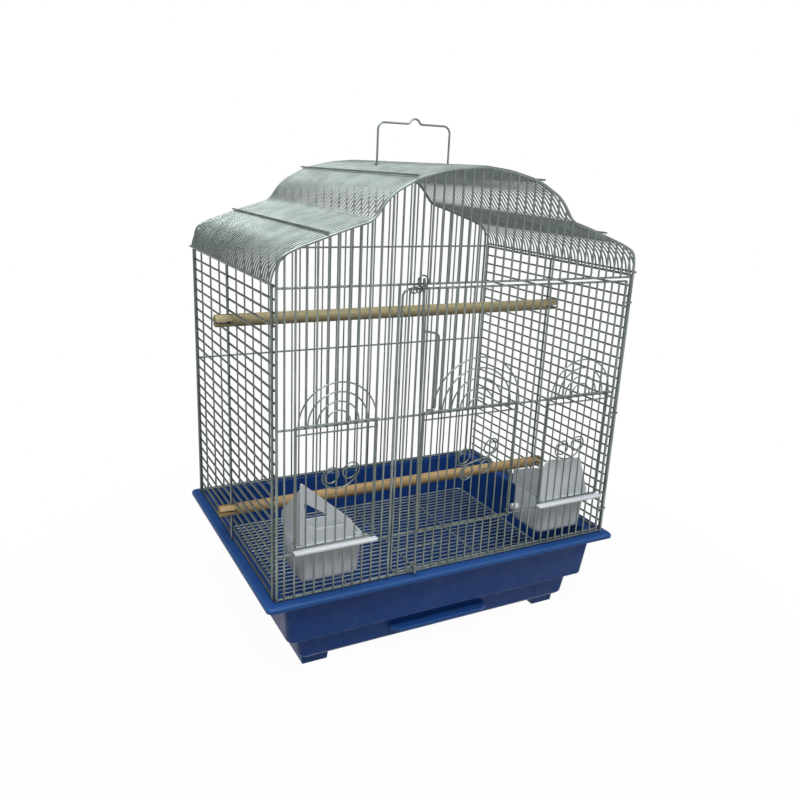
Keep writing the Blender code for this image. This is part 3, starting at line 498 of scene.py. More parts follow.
def to_mesh(made):
    # Turns a curve piece, or one with modifiers, into a plain mesh in place.
    bpy.context.view_layer.update()
    graph = bpy.context.evaluated_depsgraph_get()
    mesh = bpy.data.meshes.new_from_object(made.evaluated_get(graph))
    mesh.transform(made.matrix_world)
    name = made.name
    bpy.data.objects.remove(made, do_unlink=True)
    out = bpy.data.objects.new(name, mesh)
    collection.objects.link(out)
    out.name = name
    return out


def join(pieces):
    bpy.context.view_layer.update()
    mesh = bmesh.new()
    for piece in pieces:
        mesh.from_mesh(piece.data)
    name = pieces[0].name
    for piece in pieces:
        bpy.data.objects.remove(piece, do_unlink=True)
    return mesh_piece(name, mesh, 40.0)


def turned(name, start, end, profile, sides=32):
    # A solid of revolution. The profile is distance along the axis and radius.
    start, end = Vector(start), Vector(end)
    axis = (end - start).normalized()
    turn = axis.to_track_quat("Z", "Y").to_matrix().to_4x4()
    mesh = bmesh.new()
    rows = []
    for along, radius in profile:
        row = []
        for i in range(sides):
            a = 2.0 * math.pi * i / sides
            row.append(mesh.verts.new((radius * math.cos(a), radius * math.sin(a), along)))
        rows.append(row)
    for lower, upper in zip(rows, rows[1:]):
        for i in range(sides):
            mesh.faces.new((lower[i - 1], lower[i], upper[i], upper[i - 1]))
    mesh.faces.new(list(reversed(rows[0])))
    mesh.faces.new(rows[-1])
    bmesh.ops.recalc_face_normals(mesh, faces=mesh.faces)
    bmesh.ops.transform(mesh, matrix=Matrix.Translation(start) @ turn, verts=mesh.verts)
    return mesh_piece(name, mesh)


FACING_FRONT = Matrix.Rotation(math.radians(90), 4, "X")
FACING_SIDE = Matrix.Rotation(math.radians(90), 4, "Z") @ Matrix.Rotation(math.radians(90), 4, "X")

# Half of the gable's outline, from the eaves up to the peak: shoulder, slope, step and dome
GABLE_HALF = [(CAGE_HALF_W, EAVES_Z), (CAGE_HALF_W - 0.0005, EAVES_Z + 0.0178),
              (CAGE_HALF_W - 0.0043, EAVES_Z + 0.0288), (CAGE_HALF_W - 0.0202, EAVES_Z + 0.0366),
              (0.1541, EAVES_Z + 0.0560), (0.1278, EAVES_Z + 0.0635), (0.1135, PEAK_Z - 0.0370),
              (0.1040, PEAK_Z - 0.0280), (0.0760, PEAK_Z - 0.0128), (0.0400, PEAK_Z - 0.0040),
              (0.0, PEAK_Z)]
# The roof's wires start outside the side panels' top rows and run a little above the gables
ROOF_HALF = [(CAGE_HALF_W + 0.0053, EAVES_Z + 0.0013), (CAGE_HALF_W + 0.0008, EAVES_Z + 0.0190)]
ROOF_HALF += [(x, z + ROOF_LIFT) for x, z in GABLE_HALF[3:]]
EAVES_TIE = (CAGE_HALF_W + 0.0070, EAVES_Z + 0.0033)


def full_profile(half):
    left = [(-x, z) for x, z in half[:-1]]
    right = [(x, z) for x, z in reversed(half[:-1])]
    return left + [half[-1]] + right


def profile_z(x):
    x = abs(x)
    for (xa, za), (xb, zb) in zip(GABLE_HALF, GABLE_HALF[1:]):
        if xb <= x <= xa and xa > xb:
            return za + (zb - za) * (xa - x) / (xa - xb)
    return PEAK_Z


def over_roof(x, lift):
    # A point at x on the roof's outline, moved out from it by lift.
    for (xa, za), (xb, zb) in zip(ROOF_HALF, ROOF_HALF[1:]):
        if xb <= x <= xa:
            along = Vector((xb - xa, zb - za)).normalized()
            z = za + (zb - za) * (xa - x) / (xa - xb)
            return x + lift * along.y, z - lift * along.x
    return x, PEAK_Z + ROOF_LIFT + lift


def gable_wire(y):
    # The peak is a short flat, so that the middle bar doesn't end on a mitre.
    half = [(CAGE_HALF_W, PANEL_BOTTOM_Z - 0.0012), *GABLE_HALF[:-1], (PEAK_FLAT, PEAK_Z)]
    pts = [(-x, y, z) for x, z in half] + [(x, y, z) for x, z in reversed(half)]
    return bent(pts, GABLE_BEND), FRAME_R, False


FRONT_Y = -CAGE_HALF_D
BACK_Y = CAGE_HALF_D
RAIL_Y = FRONT_Y + RAIL_INSET
RAIL_END_X = CAGE_HALF_W + RAIL_PAST_POST
BAY_END_X = FIXED_POST_X + RAIL_PAST_POST
BOTTOM = PANEL_BOTTOM_Z - BAR_JOIN
POST_TOP_Z = FRONT_EAVES_Z + 0.0002
# The bars that the three small doors cut short
LEFT_OPEN = range(3, 10)
CENTRE_OPEN = range(16, 26)
RIGHT_OPEN = range(31, 38)
# From this bar on, the front bars belong to the door, and only their gable part is fixed
FIRST_DOOR_BAR = 12

# Front panel
runs = [gable_wire(FRONT_Y), upright(FIXED_POST_X, FRONT_Y, BOTTOM, POST_TOP_Z, FRAME_R)]
for k in range(1, BAR_COUNT + 1):
    x, top = bar_x(k), profile_z(bar_x(k))
    if k in LEFT_OPEN:
        runs.append(upright(x, FRONT_Y, BOTTOM, FEEDER_RAIL_Z + BAR_JOIN, BAR_R))
        runs.append(upright(x, FRONT_Y, MID_RAIL_Z - BAR_JOIN, top, BAR_R))
    elif k < FIRST_DOOR_BAR:
        runs.append(upright(x, FRONT_Y, BOTTOM, top, BAR_R))
    else:
        runs.append(upright(x, FRONT_Y, FRONT_EAVES_Z - BAR_JOIN, top, BAR_R))
runs += [across_x(RAIL_Y, FRONT_EAVES_Z, -RAIL_END_X, RAIL_END_X, RAIL_R),
         across_x(RAIL_Y, PANEL_BOTTOM_Z, -RAIL_END_X, RAIL_END_X, RAIL_R),
         across_x(RAIL_Y, MID_RAIL_Z, -RAIL_END_X, BAY_END_X, RAIL_R),
         across_x(RAIL_Y, FEEDER_RAIL_Z, -RAIL_END_X, BAY_END_X, RAIL_R)]
wires("front_panel_wires", runs, ZINC, "cage", "front_panel")

# Back panel
runs = [gable_wire(BACK_Y)]
for k in range(1, BAR_COUNT + 1):
    runs.append(upright(bar_x(k), BACK_Y, BOTTOM, profile_z(bar_x(k)), BAR_R))
for z in (EAVES_Z, BACK_RAIL_Z, PANEL_BOTTOM_Z):
    runs.append(across_x(BACK_Y - RAIL_INSET, z, -RAIL_END_X, RAIL_END_X, RAIL_R))
wires("back_panel_wires", runs, ZINC, "cage", "back_panel")

# Side panels
row_end = SIDE_POST_Y + RAIL_JOIN
for name, side in (("left_side_panel", -1), ("right_side_panel", 1)):
    x = side * SIDE_X
    row_x = side * (SIDE_X - SIDE_ROW_INSET)
    runs = [upright(x, y, BOTTOM, EAVES_Z, FRAME_R) for y in (-SIDE_POST_Y, 0.0, SIDE_POST_Y)]
    runs += [along_y(row_x, EAVES_Z - ROW_PITCH * j, -row_end, row_end, SIDE_ROW_R)
             for j in range(1, SIDE_ROWS)]
    runs.append(along_y(row_x, EAVES_Z, -row_end, row_end, FRAME_R))
    runs.append(along_y(row_x, PANEL_BOTTOM_Z, -row_end, row_end, RAIL_R))
    wires(name + "_wires", runs, DARK_ZINC, "cage", name)

# Roof
runs = []
roof_pitch = 2.0 * ROOF_HALF_D / (ROOF_WIRES - 1)
for i in range(ROOF_WIRES):
    y = -ROOF_HALF_D + i * roof_pitch
    path = bent([(x, y, z) for x, z in full_profile(ROOF_HALF)], GABLE_BEND, 4)
    runs.append((path, ROOF_WIRE_R, False))
eave_end = ROOF_HALF_D + RAIL_JOIN
for side in (-1, 1):
    runs.append(along_y(side * EAVES_TIE[0], EAVES_TIE[1], -eave_end, eave_end, EAVES_TIE_R))
wires("roof_wires", runs, ZINC, "cage", "roof_panel")
tie_end = CAGE_HALF_D + TIE_OVERHANG
for place, x in zip(("roof_tie", "dome_tie"), ROOF_TIE_X):
    tie_x, tie_z = over_roof(x, ROOF_WIRE_R + TIE_R + GAP)
    for side, word in ((-1, "left"), (1, "right")):
        node = place + "_" + word
        runs = [along_y(side * tie_x, tie_z, -tie_end, tie_end, TIE_R)]
        wires(node + "_wire", runs, ZINC, "cage", node)
ridge_z = PEAK_Z + ROOF_LIFT - ROOF_WIRE_R - TIE_R - GAP
runs = [along_y(0.0, ridge_z, -ROOF_HALF_D, ROOF_HALF_D, TIE_R)]
wires("ridge_tie_wire", runs, ZINC, "cage", "ridge_tie")

# Carry handle, with a small hump in the middle of its grip
half_hump = [(-0.0110, HANDLE_TOP_Z), (-0.0075, HANDLE_TOP_Z + 0.0004),
             (-0.0045, HANDLE_HUMP_Z - 0.0012)]
hump = half_hump + [(0.0, HANDLE_HUMP_Z + 0.0001)] + [(-x, z) for x, z in reversed(half_hump)]
path = [(-HANDLE_HALF, HANDLE_PIVOT_Z + HANDLE_EYE_R)]
path += arc(-HANDLE_HALF + HANDLE_BEND, HANDLE_TOP_Z - HANDLE_BEND, HANDLE_BEND, 180, 90, 8)
path += bent(hump, HUMP_BEND)
path += arc(HANDLE_HALF - HANDLE_BEND, HANDLE_TOP_Z - HANDLE_BEND, HANDLE_BEND, 90, 0, 8)
path.append((HANDLE_HALF, HANDLE_PIVOT_Z + HANDLE_EYE_R))
runs = [([(HANDLE_X + x, 0.0, z) for x, z in path], HANDLE_R, False)]
for side in (-1, 1):
    eye_centre = (HANDLE_X + side * HANDLE_HALF, 0.0, HANDLE_PIVOT_Z)
    runs.append(ring(eye_centre, HANDLE_EYE_R, EYE_WIRE_R, "X"))
wires("carry_handle_wire", runs, ZINC, "carry_handle", "carry_handle", 4)

# Main door
DOOR_END_X = DOOR_RIGHT_X + RAIL_JOIN
CORNER_X = DOOR_LEFT_X + DOOR_CORNER_R
outline = [(DOOR_END_X, DOOR_TOP_Z)]
outline += arc(CORNER_X, DOOR_TOP_Z - DOOR_CORNER_R, DOOR_CORNER_R, 90, 180, 8)
outline += arc(CORNER_X, DOOR_BOTTOM_Z + DOOR_CORNER_R, DOOR_CORNER_R, 180, 270, 8)
outline.append((DOOR_END_X, DOOR_BOTTOM_Z))
runs = [([(x, RAIL_Y, z) for x, z in outline], RAIL_R, False)]
runs.append(upright(DOOR_RIGHT_X, FRONT_Y, DOOR_BOTTOM_Z - RAIL_JOIN, DOOR_TOP_Z + RAIL_JOIN, FRAME_R))
bar_low, bar_high = DOOR_BOTTOM_Z - BAR_JOIN, DOOR_TOP_Z + BAR_JOIN
for k in range(FIRST_DOOR_BAR + 1, BAR_COUNT):
    x = bar_x(k)
    if k in CENTRE_OPEN or k in RIGHT_OPEN:
        runs.append(upright(x, FRONT_Y, bar_low, FEEDER_RAIL_Z + BAR_JOIN, BAR_R))
        runs.append(upright(x, FRONT_Y, MID_RAIL_Z - BAR_JOIN, bar_high, BAR_R))
    else:
        runs.append(upright(x, FRONT_Y, bar_low, bar_high, BAR_R))
for z in (MID_RAIL_Z, FEEDER_RAIL_Z):
    runs.append(across_x(RAIL_Y, z, DOOR_LEFT_X, DOOR_END_X, RAIL_R))
# A short rung with a bead on its end
RUNG_X = bar_x(17)
runs.append(across_x(RAIL_Y, RUNG_Z, DOOR_LEFT_X, RUNG_X + RAIL_JOIN, RAIL_R))
runs.append(across_x(RAIL_Y, RUNG_Z, RUNG_X + 0.0002, RUNG_X + 0.0045, RUNG_BEAD_R))
# Hinge loops, wide round the cage's post and narrow round the door's own wire
for z in HINGE_LOOP_Z:
    pts = []
    for i in range(9):
        t = math.radians(-80 + 20 * i)
        pts.append((CAGE_HALF_W + LOOP_POST_R * math.cos(t), FRONT_Y + LOOP_POST_R * math.sin(t), z))
    for i in range(7):
        t = math.radians(105 + 25 * i)
        pts.append((DOOR_RIGHT_X + LOOP_DOOR_R * math.cos(t), FRONT_Y + LOOP_DOOR_R * math.sin(t), z))
    runs.append((pts, LOOP_WIRE_R, True))
wires("main_door_wires", runs, ZINC, "main_door", "main_door")


# Small doors with their rainbows and scrolls
def small_door(node, k0, k1, bottom, body):
    # Two legs with guide rings round the cage's bars, thin bars between them, and two rails.
    x0, x1 = bar_x(k0), bar_x(k1)
    top = SMALL_TOP_Z + LEGS_PAST_RAIL
    runs = [upright(x, SMALL_DOOR_Y, bottom - BAR_JOIN, top, SMALL_LEG_R) for x in (x0, x1)]
    for k in range(k0 + 1, k1):
        runs.append(upright(bar_x(k), SMALL_DOOR_Y, bottom - 0.0006, top, SMALL_R))
    for z in (bottom, SMALL_TOP_Z):
        runs.append(across_x(SMALL_RAIL_Y, z, x0 - 0.0005, x1 + 0.0005, SMALL_RAIL_R))
    for x in (x0, x1):
        runs.append(ring((x, FRONT_Y, bottom + GUIDE_RING_Z), GUIDE_RING_R, GUIDE_WIRE_R, "Z", 12))
    wires(node + "_wires", runs, DARK_ZINC, body, node)


def rainbow(node, x0, x1, centre, radii, body):
    runs = [across_x(ORNAMENT_Y, ARCH_BASE_Z, x0 - RAIL_JOIN, x1 + RAIL_JOIN, SMALL_RAIL_R)]
    for r in radii:
        n = max(14, int(round(r * ARCH_STEPS_PER_METRE)))
        pts = [(x, ORNAMENT_Y, z) for x, z in arc(centre, ARCH_BASE_Z, r, 0, 180, n)]
        runs.append((pts, SMALL_R, False))
    wires(node + "_wires", runs, ZINC, body, node)


CURL_STEPS = 46
CURL_START = -300.0
CURL_TURN = 525.0


def horns(cx, cz, spread, r_out, drop, flip, slant):
    # Two inward curls joined by a U, opening upwards, or downwards when flip is -1. The slant
    # lifts the right curl over the left one.
    r_in = 0.35 * r_out
    left = []
    for i in range(CURL_STEPS + 1):
        t = i / CURL_STEPS
        a = math.radians(CURL_START + CURL_TURN * t)
        r = r_in + (r_out - r_in) * math.sqrt(t)
        left.append((-spread + r * math.cos(a), r * math.sin(a)))
    end_x, end_z = left[-1]
    control_x = end_x + (end_z + drop)
    for i in range(1, 8):
        t = i / 8
        x = (1 - t) ** 2 * end_x + 2 * t * (1 - t) * control_x
        z = (1 - t) ** 2 * end_z - (1 - (1 - t) ** 2) * drop
        left.append((x, z))
    path = left + [(0.0, -drop)] + [(-x, z) for x, z in reversed(left)]
    return [(cx + x, ORNAMENT_Y, cz + flip * z + slant * x) for x, z in path], SMALL_R, False


small_door("left_feeder_door", 2, 10, SIDE_DOOR_BOTTOM_Z, "left_feeder_door")
small_door("centre_door", 15, 26, CENTRE_DOOR_BOTTOM_Z, "centre_door")
small_door("right_feeder_door", 30, 38, SIDE_DOOR_BOTTOM_Z, "right_feeder_door")
centre_arch_x = bar_x(26) - ARCH_RADII_CENTRE[0] - 0.0006
rainbow("rainbow_left", bar_x(2), bar_x(10), -CUP_CENTRE_X, ARCH_RADII_SIDE, "left_feeder_door")
rainbow("rainbow_centre", bar_x(15), bar_x(26), centre_arch_x, ARCH_RADII_CENTRE, "centre_door")
rainbow("rainbow_right", bar_x(30), bar_x(38), CUP_CENTRE_X, ARCH_RADII_SIDE, "right_feeder_door")
side_scroll = (0.0115, 0.0106, 0.0165, 1, 0.13)
runs = [horns(0.0042 - CUP_CENTRE_X, 0.2593, *side_scroll)]
wires("scroll_left_wire", runs, DARK_ZINC, "left_feeder_door", "scroll_left")
runs = [horns(CUP_CENTRE_X - 0.0080, SCROLL_Z, *side_scroll)]
wires("scroll_right_wire", runs, DARK_ZINC, "right_feeder_door", "scroll_right")
scroll_x = centre_arch_x + 0.0054
runs = [horns(scroll_x, SCROLL_Z + SCROLL_HALF_GAP, 0.0187, 0.0106, 0.0114, 1, 0.22),
        horns(scroll_x, SCROLL_Z - SCROLL_HALF_GAP, 0.0128, 0.0095, 0.0114, -1, 0.20)]
wires("scroll_centre_wires", runs, DARK_ZINC, "centre_door", "scroll_centre")

# Latch rod, lever and the knots that hold it
lever = bent([(LEVER_X - 0.0208, LEVER_TOP_Z + 0.0012), (LEVER_X - 0.0082, LEVER_TOP_Z - 0.0010),
              (LEVER_X, LEVER_TOP_Z - 0.0040), (LEVER_X, LEVER_BOTTOM_Z),
              (LEVER_X - 0.0097, LEVER_BOTTOM_Z)], LEVER_BEND)
rod = (LATCH_BOTTOM, LATCH_TOP)
runs = [([(x, LATCH_Y, z) for x, z in path], r, False) for path, r in ((rod, LATCH_R), (lever, LEVER_R))]
wires("latch_rod_wires", runs, DARK_ZINC, "latch_rod", "latch_rod", 4)


def rod_x(z):
    t = (z - LATCH_BOTTOM[1]) / (LATCH_TOP[1] - LATCH_BOTTOM[1])
    return LATCH_BOTTOM[0] + (LATCH_TOP[0] - LATCH_BOTTOM[0]) * t


def knot(node, z, curls):
    # A loop round the rod, and curls behind it: offset along X, offset along Z and radius.
    x = rod_x(z)
    runs = [ring((x, LATCH_Y, z), KNOT_LOOP_R, LOOP_WIRE_R, "Z")]
    runs += [ring((x + dx, LATCH_Y + CURL_BACK, z + dz), r, SMALL_R, "Y") for dx, dz, r in curls]
    wires(node + "_wires", runs, DARK_ZINC, "main_door", node)


knot("latch_knot_top", DOOR_TOP_Z + 0.0029,
     ((0.0006, 0.0061, 0.0061), (-0.0038, -0.0024, 0.0036), (-0.0098, -0.0031, 0.0036)))
knot("latch_knot_bottom", DOOR_BOTTOM_Z + 0.0110,
     ((-0.0003, -0.0038, 0.0038), (-0.0065, -0.0012, 0.0036)))

# Floor grille
frame_path = rounded(GRILLE_HALF_W, GRILLE_HALF_D, GRILLE_CORNER_R, GRILLE_Z, 8)
runs = [(frame_path, GRILLE_FRAME_R, True)]
long_pitch = 2.0 * GRILLE_HALF_D / (GRILLE_LONG + 1)
for i in range(1, GRILLE_LONG + 1):
    y = -GRILLE_HALF_D + long_pitch * i
    runs.append(across_x(y, GRILLE_Z, -GRILLE_HALF_W, GRILLE_HALF_W, GRILLE_R))
cross_pitch = 2.0 * GRILLE_HALF_W / (GRILLE_CROSS + 1)
for i in range(1, GRILLE_CROSS + 1):
    x = -GRILLE_HALF_W + cross_pitch * i
    runs.append(along_y(x, GRILLE_Z + CROSS_LIFT, -GRILLE_HALF_D, GRILLE_HALF_D, GRILLE_R))
wires("floor_grille_wires", runs, FLOOR_ZINC, "cage", "floor_grille")

# Perches: turned dowels with crossed slots in their ends
row_slot = 2.0 * (SIDE_ROW_R + GAP)
post_slot = 2.0 * (FRAME_R + GAP)
length = 2.0 * PERCH_HALF
straight = length - 2.0 * END_ROUND
end_profile = [(0.0, END_ROUND), (0.0003, 0.0005), (END_ROUND, 0.0)]
profile = [(along, PERCH_R - inset) for along, inset in end_profile]
profile += [(END_ROUND + straight * i / DOWEL_STEPS, PERCH_R) for i in range(1, DOWEL_STEPS)]
profile += [(length - along, PERCH_R - inset) for along, inset in reversed(end_profile)]
cut_end = PERCH_HALF + 0.003
for node, z, row, look, slot in (
        ("upper_perch", PERCH_UPPER_Z, UPPER_PERCH_ROW, PALE_WOOD, "pale_wood"),
        ("lower_perch", PERCH_LOWER_Z, LOWER_PERCH_ROW, WARM_WOOD, "warm_wood")):
    perch = turned(node + "_dowel", (-PERCH_HALF, 0.0, z), (PERCH_HALF, 0.0, z), profile)
    row_z = EAVES_Z - ROW_PITCH * row
    for side in (-1, 1):
        middle = side * (PERCH_SLOT_X + cut_end) / 2.0
        reach = cut_end - PERCH_SLOT_X
        for size, height in (((reach, CUT_ACROSS, row_slot), row_z),
                             ((reach, post_slot, CUT_ACROSS), z)):
            mesh = bmesh.new()
            bmesh.ops.create_cube(mesh, size=1.0, matrix=Matrix.Translation((middle, 0.0, height))
                                  @ Matrix.Diagonal((*size, 1.0)))
            cutter = mesh_piece(node + "_cutter", mesh)
            cut = perch.modifiers.new("slot", "BOOLEAN")
            cut.operation = "DIFFERENCE"
            cut.solver = "EXACT"
            cut.object = cutter
            perch = to_mesh(perch)
            bpy.data.objects.remove(cutter, do_unlink=True)
    perch.data.shade_smooth()
    perch.data.set_sharp_from_angle(angle=math.radians(35))
    adopt(perch, look, "cage", node)

# Base tray
sections = [(LOWER_BOTTOM[0] - 0.004, LOWER_BOTTOM[1] - 0.004, TUB_CORNER_R - 0.003, FLOOR_Z),
            (LOWER_BOTTOM[0], LOWER_BOTTOM[1], TUB_CORNER_R, FLOOR_Z + 0.004),
            (LOWER_TOP[0], LOWER_TOP[1], TUB_CORNER_R, STEP_Z - 0.001),
            (UPPER_BOTTOM[0], UPPER_BOTTOM[1], TUB_CORNER_R, STEP_Z),
            (UPPER_TOP[0], UPPER_TOP[1], TUB_CORNER_R, FLANGE_TOP_Z - WALL),
            (BASE_HALF_W - WALL, BASE_HALF_D - WALL, FLANGE_CORNER_R, FLANGE_TOP_Z - WALL),
            (BASE_HALF_W - WALL, BASE_HALF_D - WALL, FLANGE_CORNER_R, LIP_BOTTOM_Z)]
pieces = [tub("base_tray_tub", bent(sections, TRAY_BEND, 3), WALL)]


def foot(x_out, width, y0, y1):
    # A pair of feet or runners, a little narrower where they meet the ground.
    x_in = x_out - width
    top = FLOOR_Z + 0.001
    section = [(x_in, top), (x_out, top), (x_out - FOOT_SLOPE, 0.0), (x_in + FOOT_SLOPE, 0.0)]
    place = Matrix.Translation((0.0, (y0 + y1) / 2.0, 0.0)) @ FACING_FRONT
    for side in (-1, 1):
        outline = [(side * x, z) for x, z in section]
        pieces.append(slab("foot", outline, y1 - y0, place, THICK_RIM))


foot(LOWER_BOTTOM[0] - 0.0050, 0.0380, 0.0140 - LOWER_BOTTOM[1], RUNNER_BACK_Y)
foot(LOWER_BOTTOM[0] - 0.0220, 0.0200, LOWER_BOTTOM[1] - 0.0420, LOWER_BOTTOM[1] - 0.0160)
pull_y = -LOWER_BOTTOM[1]
pull = [(-0.0800, pull_y - 0.0005), (-0.0800, pull_y - 0.0080), (-0.0700, pull_y - 0.0150),
        (0.0500, pull_y - 0.0150), (0.0600, pull_y - 0.0080), (0.0600, pull_y - 0.0005)]
place = Matrix.Translation((0.0, 0.0, PULL_Z))
pieces.append(slab("pull", bent(pull, PULL_BEND), PULL_THICK, place, THICK_RIM))
adopt(join(pieces), BLUE, "cage", "base_tray")


# Feeder cups and hoods
def cup(node, cx, body, knob=False):
    cy = (CUP_FRONT_Y + CUP_BACK_Y) / 2.0
    hd = (CUP_BACK_Y - CUP_FRONT_Y) / 2.0
    sections = [(CUP_HALF_W - 0.008, hd - 0.008, 0.006, CUP_BOTTOM_Z),
                (CUP_HALF_W - 0.003, hd - 0.003, 0.009, CUP_BOTTOM_Z + 0.004),
                (CUP_HALF_W, hd, 0.010, CUP_TOP_Z)]
    pieces = [tub(node + "_moulding", bent(sections, CUP_BEND, 4), CUP_WALL, (cx, cy), 8)]
    w = LEDGE_HALF_W
    neck = [(-NECK_HALF_W, CUP_FRONT_Y + 0.0012), (-NECK_HALF_W, LEDGE_BACK_Y), (-w, LEDGE_BACK_Y),
            (-w, LEDGE_FRONT_Y), (w, LEDGE_FRONT_Y), (w, LEDGE_BACK_Y), (NECK_HALF_W, LEDGE_BACK_Y),
            (NECK_HALF_W, CUP_FRONT_Y + 0.0012)]
    place = Matrix.Translation((cx, 0.0, LEDGE_Z))
    pieces.append(slab("ledge", bent(neck, LEDGE_BEND), LEDGE_THICK, place, THICK_RIM))
    if knob:
        knob_x, knob_y, knob_z = cx - CUP_HALF_W, CUP_BACK_Y - 0.0125, 0.1470
        start, end = (knob_x - 0.0070, knob_y, knob_z), (knob_x + 0.0016, knob_y, knob_z)
        profile = [(0.0, 0.0034), (0.0004, 0.0044), (0.0014, 0.0050), (0.0086, 0.0050)]
        pieces.append(turned("knob", start, end, profile, 24))
    adopt(join(pieces), WHITE, body, node)


def hood(node, cx, outline, holes, walls, body):
    # A front wall towards the bars, and side walls whose top edges fall to the back. Walls are
    # the side, the height in front and behind, and how far the top leans inwards.
    z0 = CUP_TOP_Z + GAP
    y0 = CUP_FRONT_Y + GAP
    place = Matrix.Translation((cx, y0 + CUP_WALL / 2.0, z0)) @ FACING_FRONT
    rim = bent([(0.0, 0.0), *outline, (0.0, 0.0)], HOOD_BEND)[:-1]
    pieces = [slab(node + "_moulding", rim, CUP_WALL, place, THIN_RIM, holes)]
    for side, front_tall, back_tall, lean in walls:
        angle = math.atan2(lean, front_tall)
        foot_z = 0.0001 + CUP_WALL * math.sin(angle)
        front_edge = y0 + 0.0004
        edge = [(front_edge, foot_z), (CUP_BACK_Y, foot_z), (CUP_BACK_Y, back_tall),
                (front_edge, front_tall)]
        turn = Matrix.Rotation(-side * angle, 4, "Y")
        wall_x = cx + side * (HOOD_HALF_W - CUP_WALL / 2.0)
        place = Matrix.Translation((wall_x, 0.0, z0)) @ turn @ FACING_SIDE
        pieces.append(slab("wall", edge, CUP_WALL, place, THIN_RIM))
    adopt(join(pieces), WHITE, body, node)


cup("left_cup", -CUP_CENTRE_X, "cage")
cup("right_cup", CUP_CENTRE_X, "main_door", knob=True)
half_w = HOOD_HALF_W
sloped_front = [(-half_w, 0.0), (-half_w, LEFT_HOOD_TALL), (-half_w + 0.0022, LEFT_HOOD_TALL),
                (0.0232, 0.0197), (0.0262, 0.0060), (half_w, 0.0)]
window = [(-0.0092, 0.0330), (-half_w + 0.0045, 0.0500), (-half_w + 0.0072, 0.0245),
          (-0.0202, 0.0167), (0.0160, 0.0160), (-0.0092, 0.0330)]
holes = [bent(window, WINDOW_BEND)[:-1]]
hood("left_hood", -CUP_CENTRE_X, sloped_front, holes, [(-1, 0.0675, 0.0158, 0.0)], "cage")
closed_front = [(-half_w, 0.0), (-half_w, RIGHT_HOOD_TALL - 0.0080), (-half_w + 0.0075, RIGHT_HOOD_TALL),
                (half_w - 0.0185, RIGHT_HOOD_TALL - 0.0035), (half_w, 0.0)]
right_walls = [(-1, 0.0450, 0.0195, 0.0), (1, 0.0480, 0.0195, 0.0176)]
hood("right_hood", CUP_CENTRE_X, closed_front, [], right_walls, "main_door")

# Floor, background and lamps
FADE_START = 0.30
FADE_END = 0.60
FADE_SHARE = 0.975
FLOOR_GREY = (0.30, 0.30, 0.30, 1.0)
PURE_WHITE = (1.0, 1.0, 1.0, 1.0)
WORLD_STRENGTH = 0.26

backdrop = bpy.data.materials.new("floor_look")
backdrop.use_nodes = True
tree = backdrop.node_tree
tree.nodes.remove(tree.nodes["Principled BSDF"])
rays = tree.nodes.new("ShaderNodeLightPath")
plain = tree.nodes.new("ShaderNodeBsdfDiffuse")
plain.inputs["Color"].default_value = FLOOR_GREY
glow = tree.nodes.new("ShaderNodeEmission")
glow.inputs["Color"].default_value = PURE_WHITE
place = tree.nodes.new("ShaderNodeNewGeometry")
distance = tree.nodes.new("ShaderNodeVectorMath")
distance.operation = "LENGTH"
tree.links.new(place.outputs["Position"], distance.inputs[0])
fade = tree.nodes.new("ShaderNodeMapRange")
fade.inputs["From Min"].default_value = FADE_START
fade.inputs["From Max"].default_value = FADE_END
fade.inputs["To Min"].default_value = FADE_SHARE
fade.inputs["To Max"].default_value = 1.0
tree.links.new(distance.outputs["Value"], fade.inputs["Value"])
seen = tree.nodes.new("ShaderNodeMath")
seen.operation = "MAXIMUM"
tree.links.new(rays.outputs["Is Camera Ray"], seen.inputs[0])
tree.links.new(rays.outputs["Is Glossy Ray"], seen.inputs[1])
seen_too = tree.nodes.new("ShaderNodeMath")
seen_too.operation = "MAXIMUM"
tree.links.new(seen.outputs["Value"], seen_too.inputs[0])
tree.links.new(rays.outputs["Is Transmission Ray"], seen_too.inputs[1])
share = tree.nodes.new("ShaderNodeMath")
share.operation = "MULTIPLY"
tree.links.new(seen_too.outputs["Value"], share.inputs[0])
tree.links.new(fade.outputs["Result"], share.inputs[1])
both = tree.nodes.new("ShaderNodeMixShader")
tree.links.new(share.outputs["Value"], both.inputs["Fac"])
tree.links.new(plain.outputs["BSDF"], both.inputs[1])
tree.links.new(glow.outputs["Emission"], both.inputs[2])
tree.links.new(both.outputs["Shader"], tree.nodes["Material Output"].inputs["Surface"])

mesh = bmesh.new()
bmesh.ops.create_grid(mesh, x_segments=1, y_segments=1, size=12.0)
floor = mesh_piece("floor", mesh)
floor.data.materials.append(backdrop)

world = bpy.data.worlds.new("studio")
bpy.context.scene.world = world
world.use_nodes = True
tree = world.node_tree
sky = tree.nodes["Background"]
sky.inputs["Color"].default_value = PURE_WHITE
sky.inputs["Strength"].default_value = WORLD_STRENGTH
white = tree.nodes.new("ShaderNodeBackground")
white.inputs["Color"].default_value = PURE_WHITE
white.inputs["Strength"].default_value = 1.0
rays = tree.nodes.new("ShaderNodeLightPath")
seen = tree.nodes.new("ShaderNodeMath")
seen.operation = "MAXIMUM"
tree.links.new(rays.outputs["Is Camera Ray"], seen.inputs[0])
tree.links.new(rays.outputs["Is Transmission Ray"], seen.inputs[1])
both = tree.nodes.new("ShaderNodeMixShader")
tree.links.new(seen.outputs["Value"], both.inputs["Fac"])
tree.links.new(sky.outputs["Background"], both.inputs[1])
tree.links.new(white.outputs["Background"], both.inputs[2])
tree.links.new(both.outputs["Shader"], tree.nodes["World Output"].inputs["Surface"])


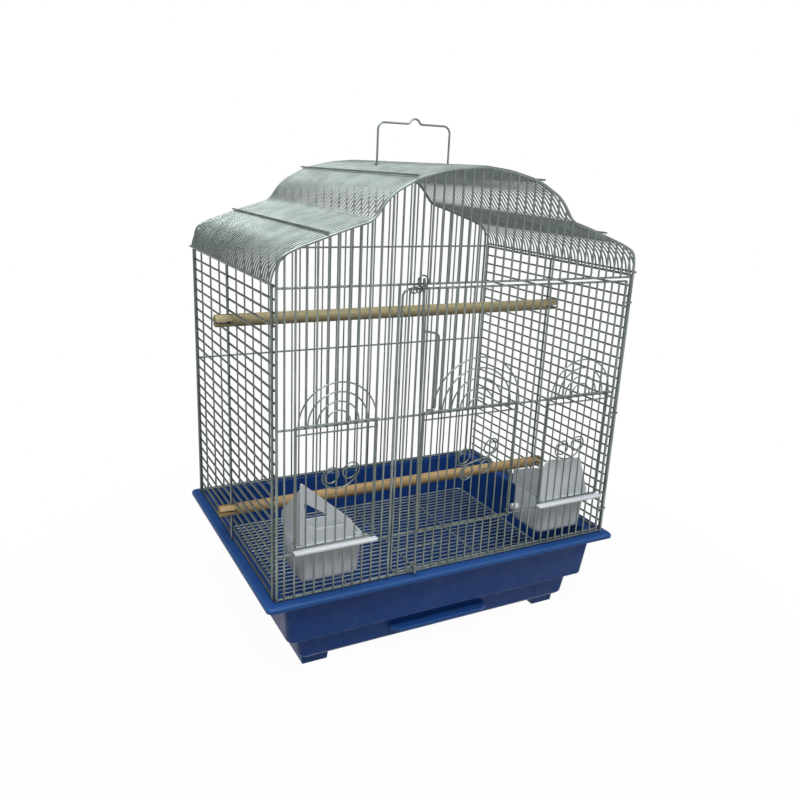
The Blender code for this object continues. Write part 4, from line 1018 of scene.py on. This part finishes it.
def lamp(name, place, aim, size, power):
    data = bpy.data.lights.new(name, "AREA")
    data.shape = "SQUARE"
    data.size = size
    data.energy = power
    made = bpy.data.objects.new(name, data)
    collection.objects.link(made)
    made.location = place
    made.rotation_mode = "QUATERNION"
    made.rotation_quaternion = (Vector(aim) - Vector(place)).to_track_quat("-Z", "Y")


lamp("top_softbox", (-0.10, -0.10, 1.75), (0.0, 0.0, 0.25), 1.4, 19.0)
lamp("left_softbox", (-0.45, -1.10, 1.90), (0.0, 0.0, 0.30), 0.8, 27.0)
lamp("front_softbox", (0.90, -1.60, 1.05), (0.0, 0.0, 0.25), 1.0, 5.0)

# Camera, at the photograph's place
CAMERA_AZIMUTH = -28.1
CAMERA_ELEVATION = 16.8
CAMERA_ROLL = 2.62
CAMERA_DISTANCE = 1.0626
CAMERA_TARGET = Vector((0.00074, 0.0, 0.2771))
FOCAL_PIXELS = 784.0
PICTURE_PIXELS = 800.0
SENSOR_WIDTH = 36.0

a, e, r = (math.radians(v) for v in (CAMERA_AZIMUTH, CAMERA_ELEVATION, CAMERA_ROLL))
back = Vector((math.sin(a) * math.cos(e), -math.cos(a) * math.cos(e), math.sin(e)))
right = (-back).cross(Vector((0.0, 0.0, 1.0))).normalized()
up = right.cross(-back)
tilted_right = math.cos(r) * right + math.sin(r) * up
tilted_up = -math.sin(r) * right + math.cos(r) * up
eye = CAMERA_TARGET + back * CAMERA_DISTANCE
camera = bpy.data.objects.new("camera", bpy.data.cameras.new("camera"))
collection.objects.link(camera)
camera.matrix_world = Matrix((
    (tilted_right.x, tilted_up.x, back.x, eye.x),
    (tilted_right.y, tilted_up.y, back.y, eye.y),
    (tilted_right.z, tilted_up.z, back.z, eye.z),
    (0.0, 0.0, 0.0, 1.0)))
camera.data.sensor_width = SENSOR_WIDTH
camera.data.lens = SENSOR_WIDTH * FOCAL_PIXELS / PICTURE_PIXELS
camera.data.clip_start = 0.01
camera.data.clip_end = 60.0
bpy.context.scene.camera = camera
bpy.context.scene.view_settings.view_transform = "Standard"
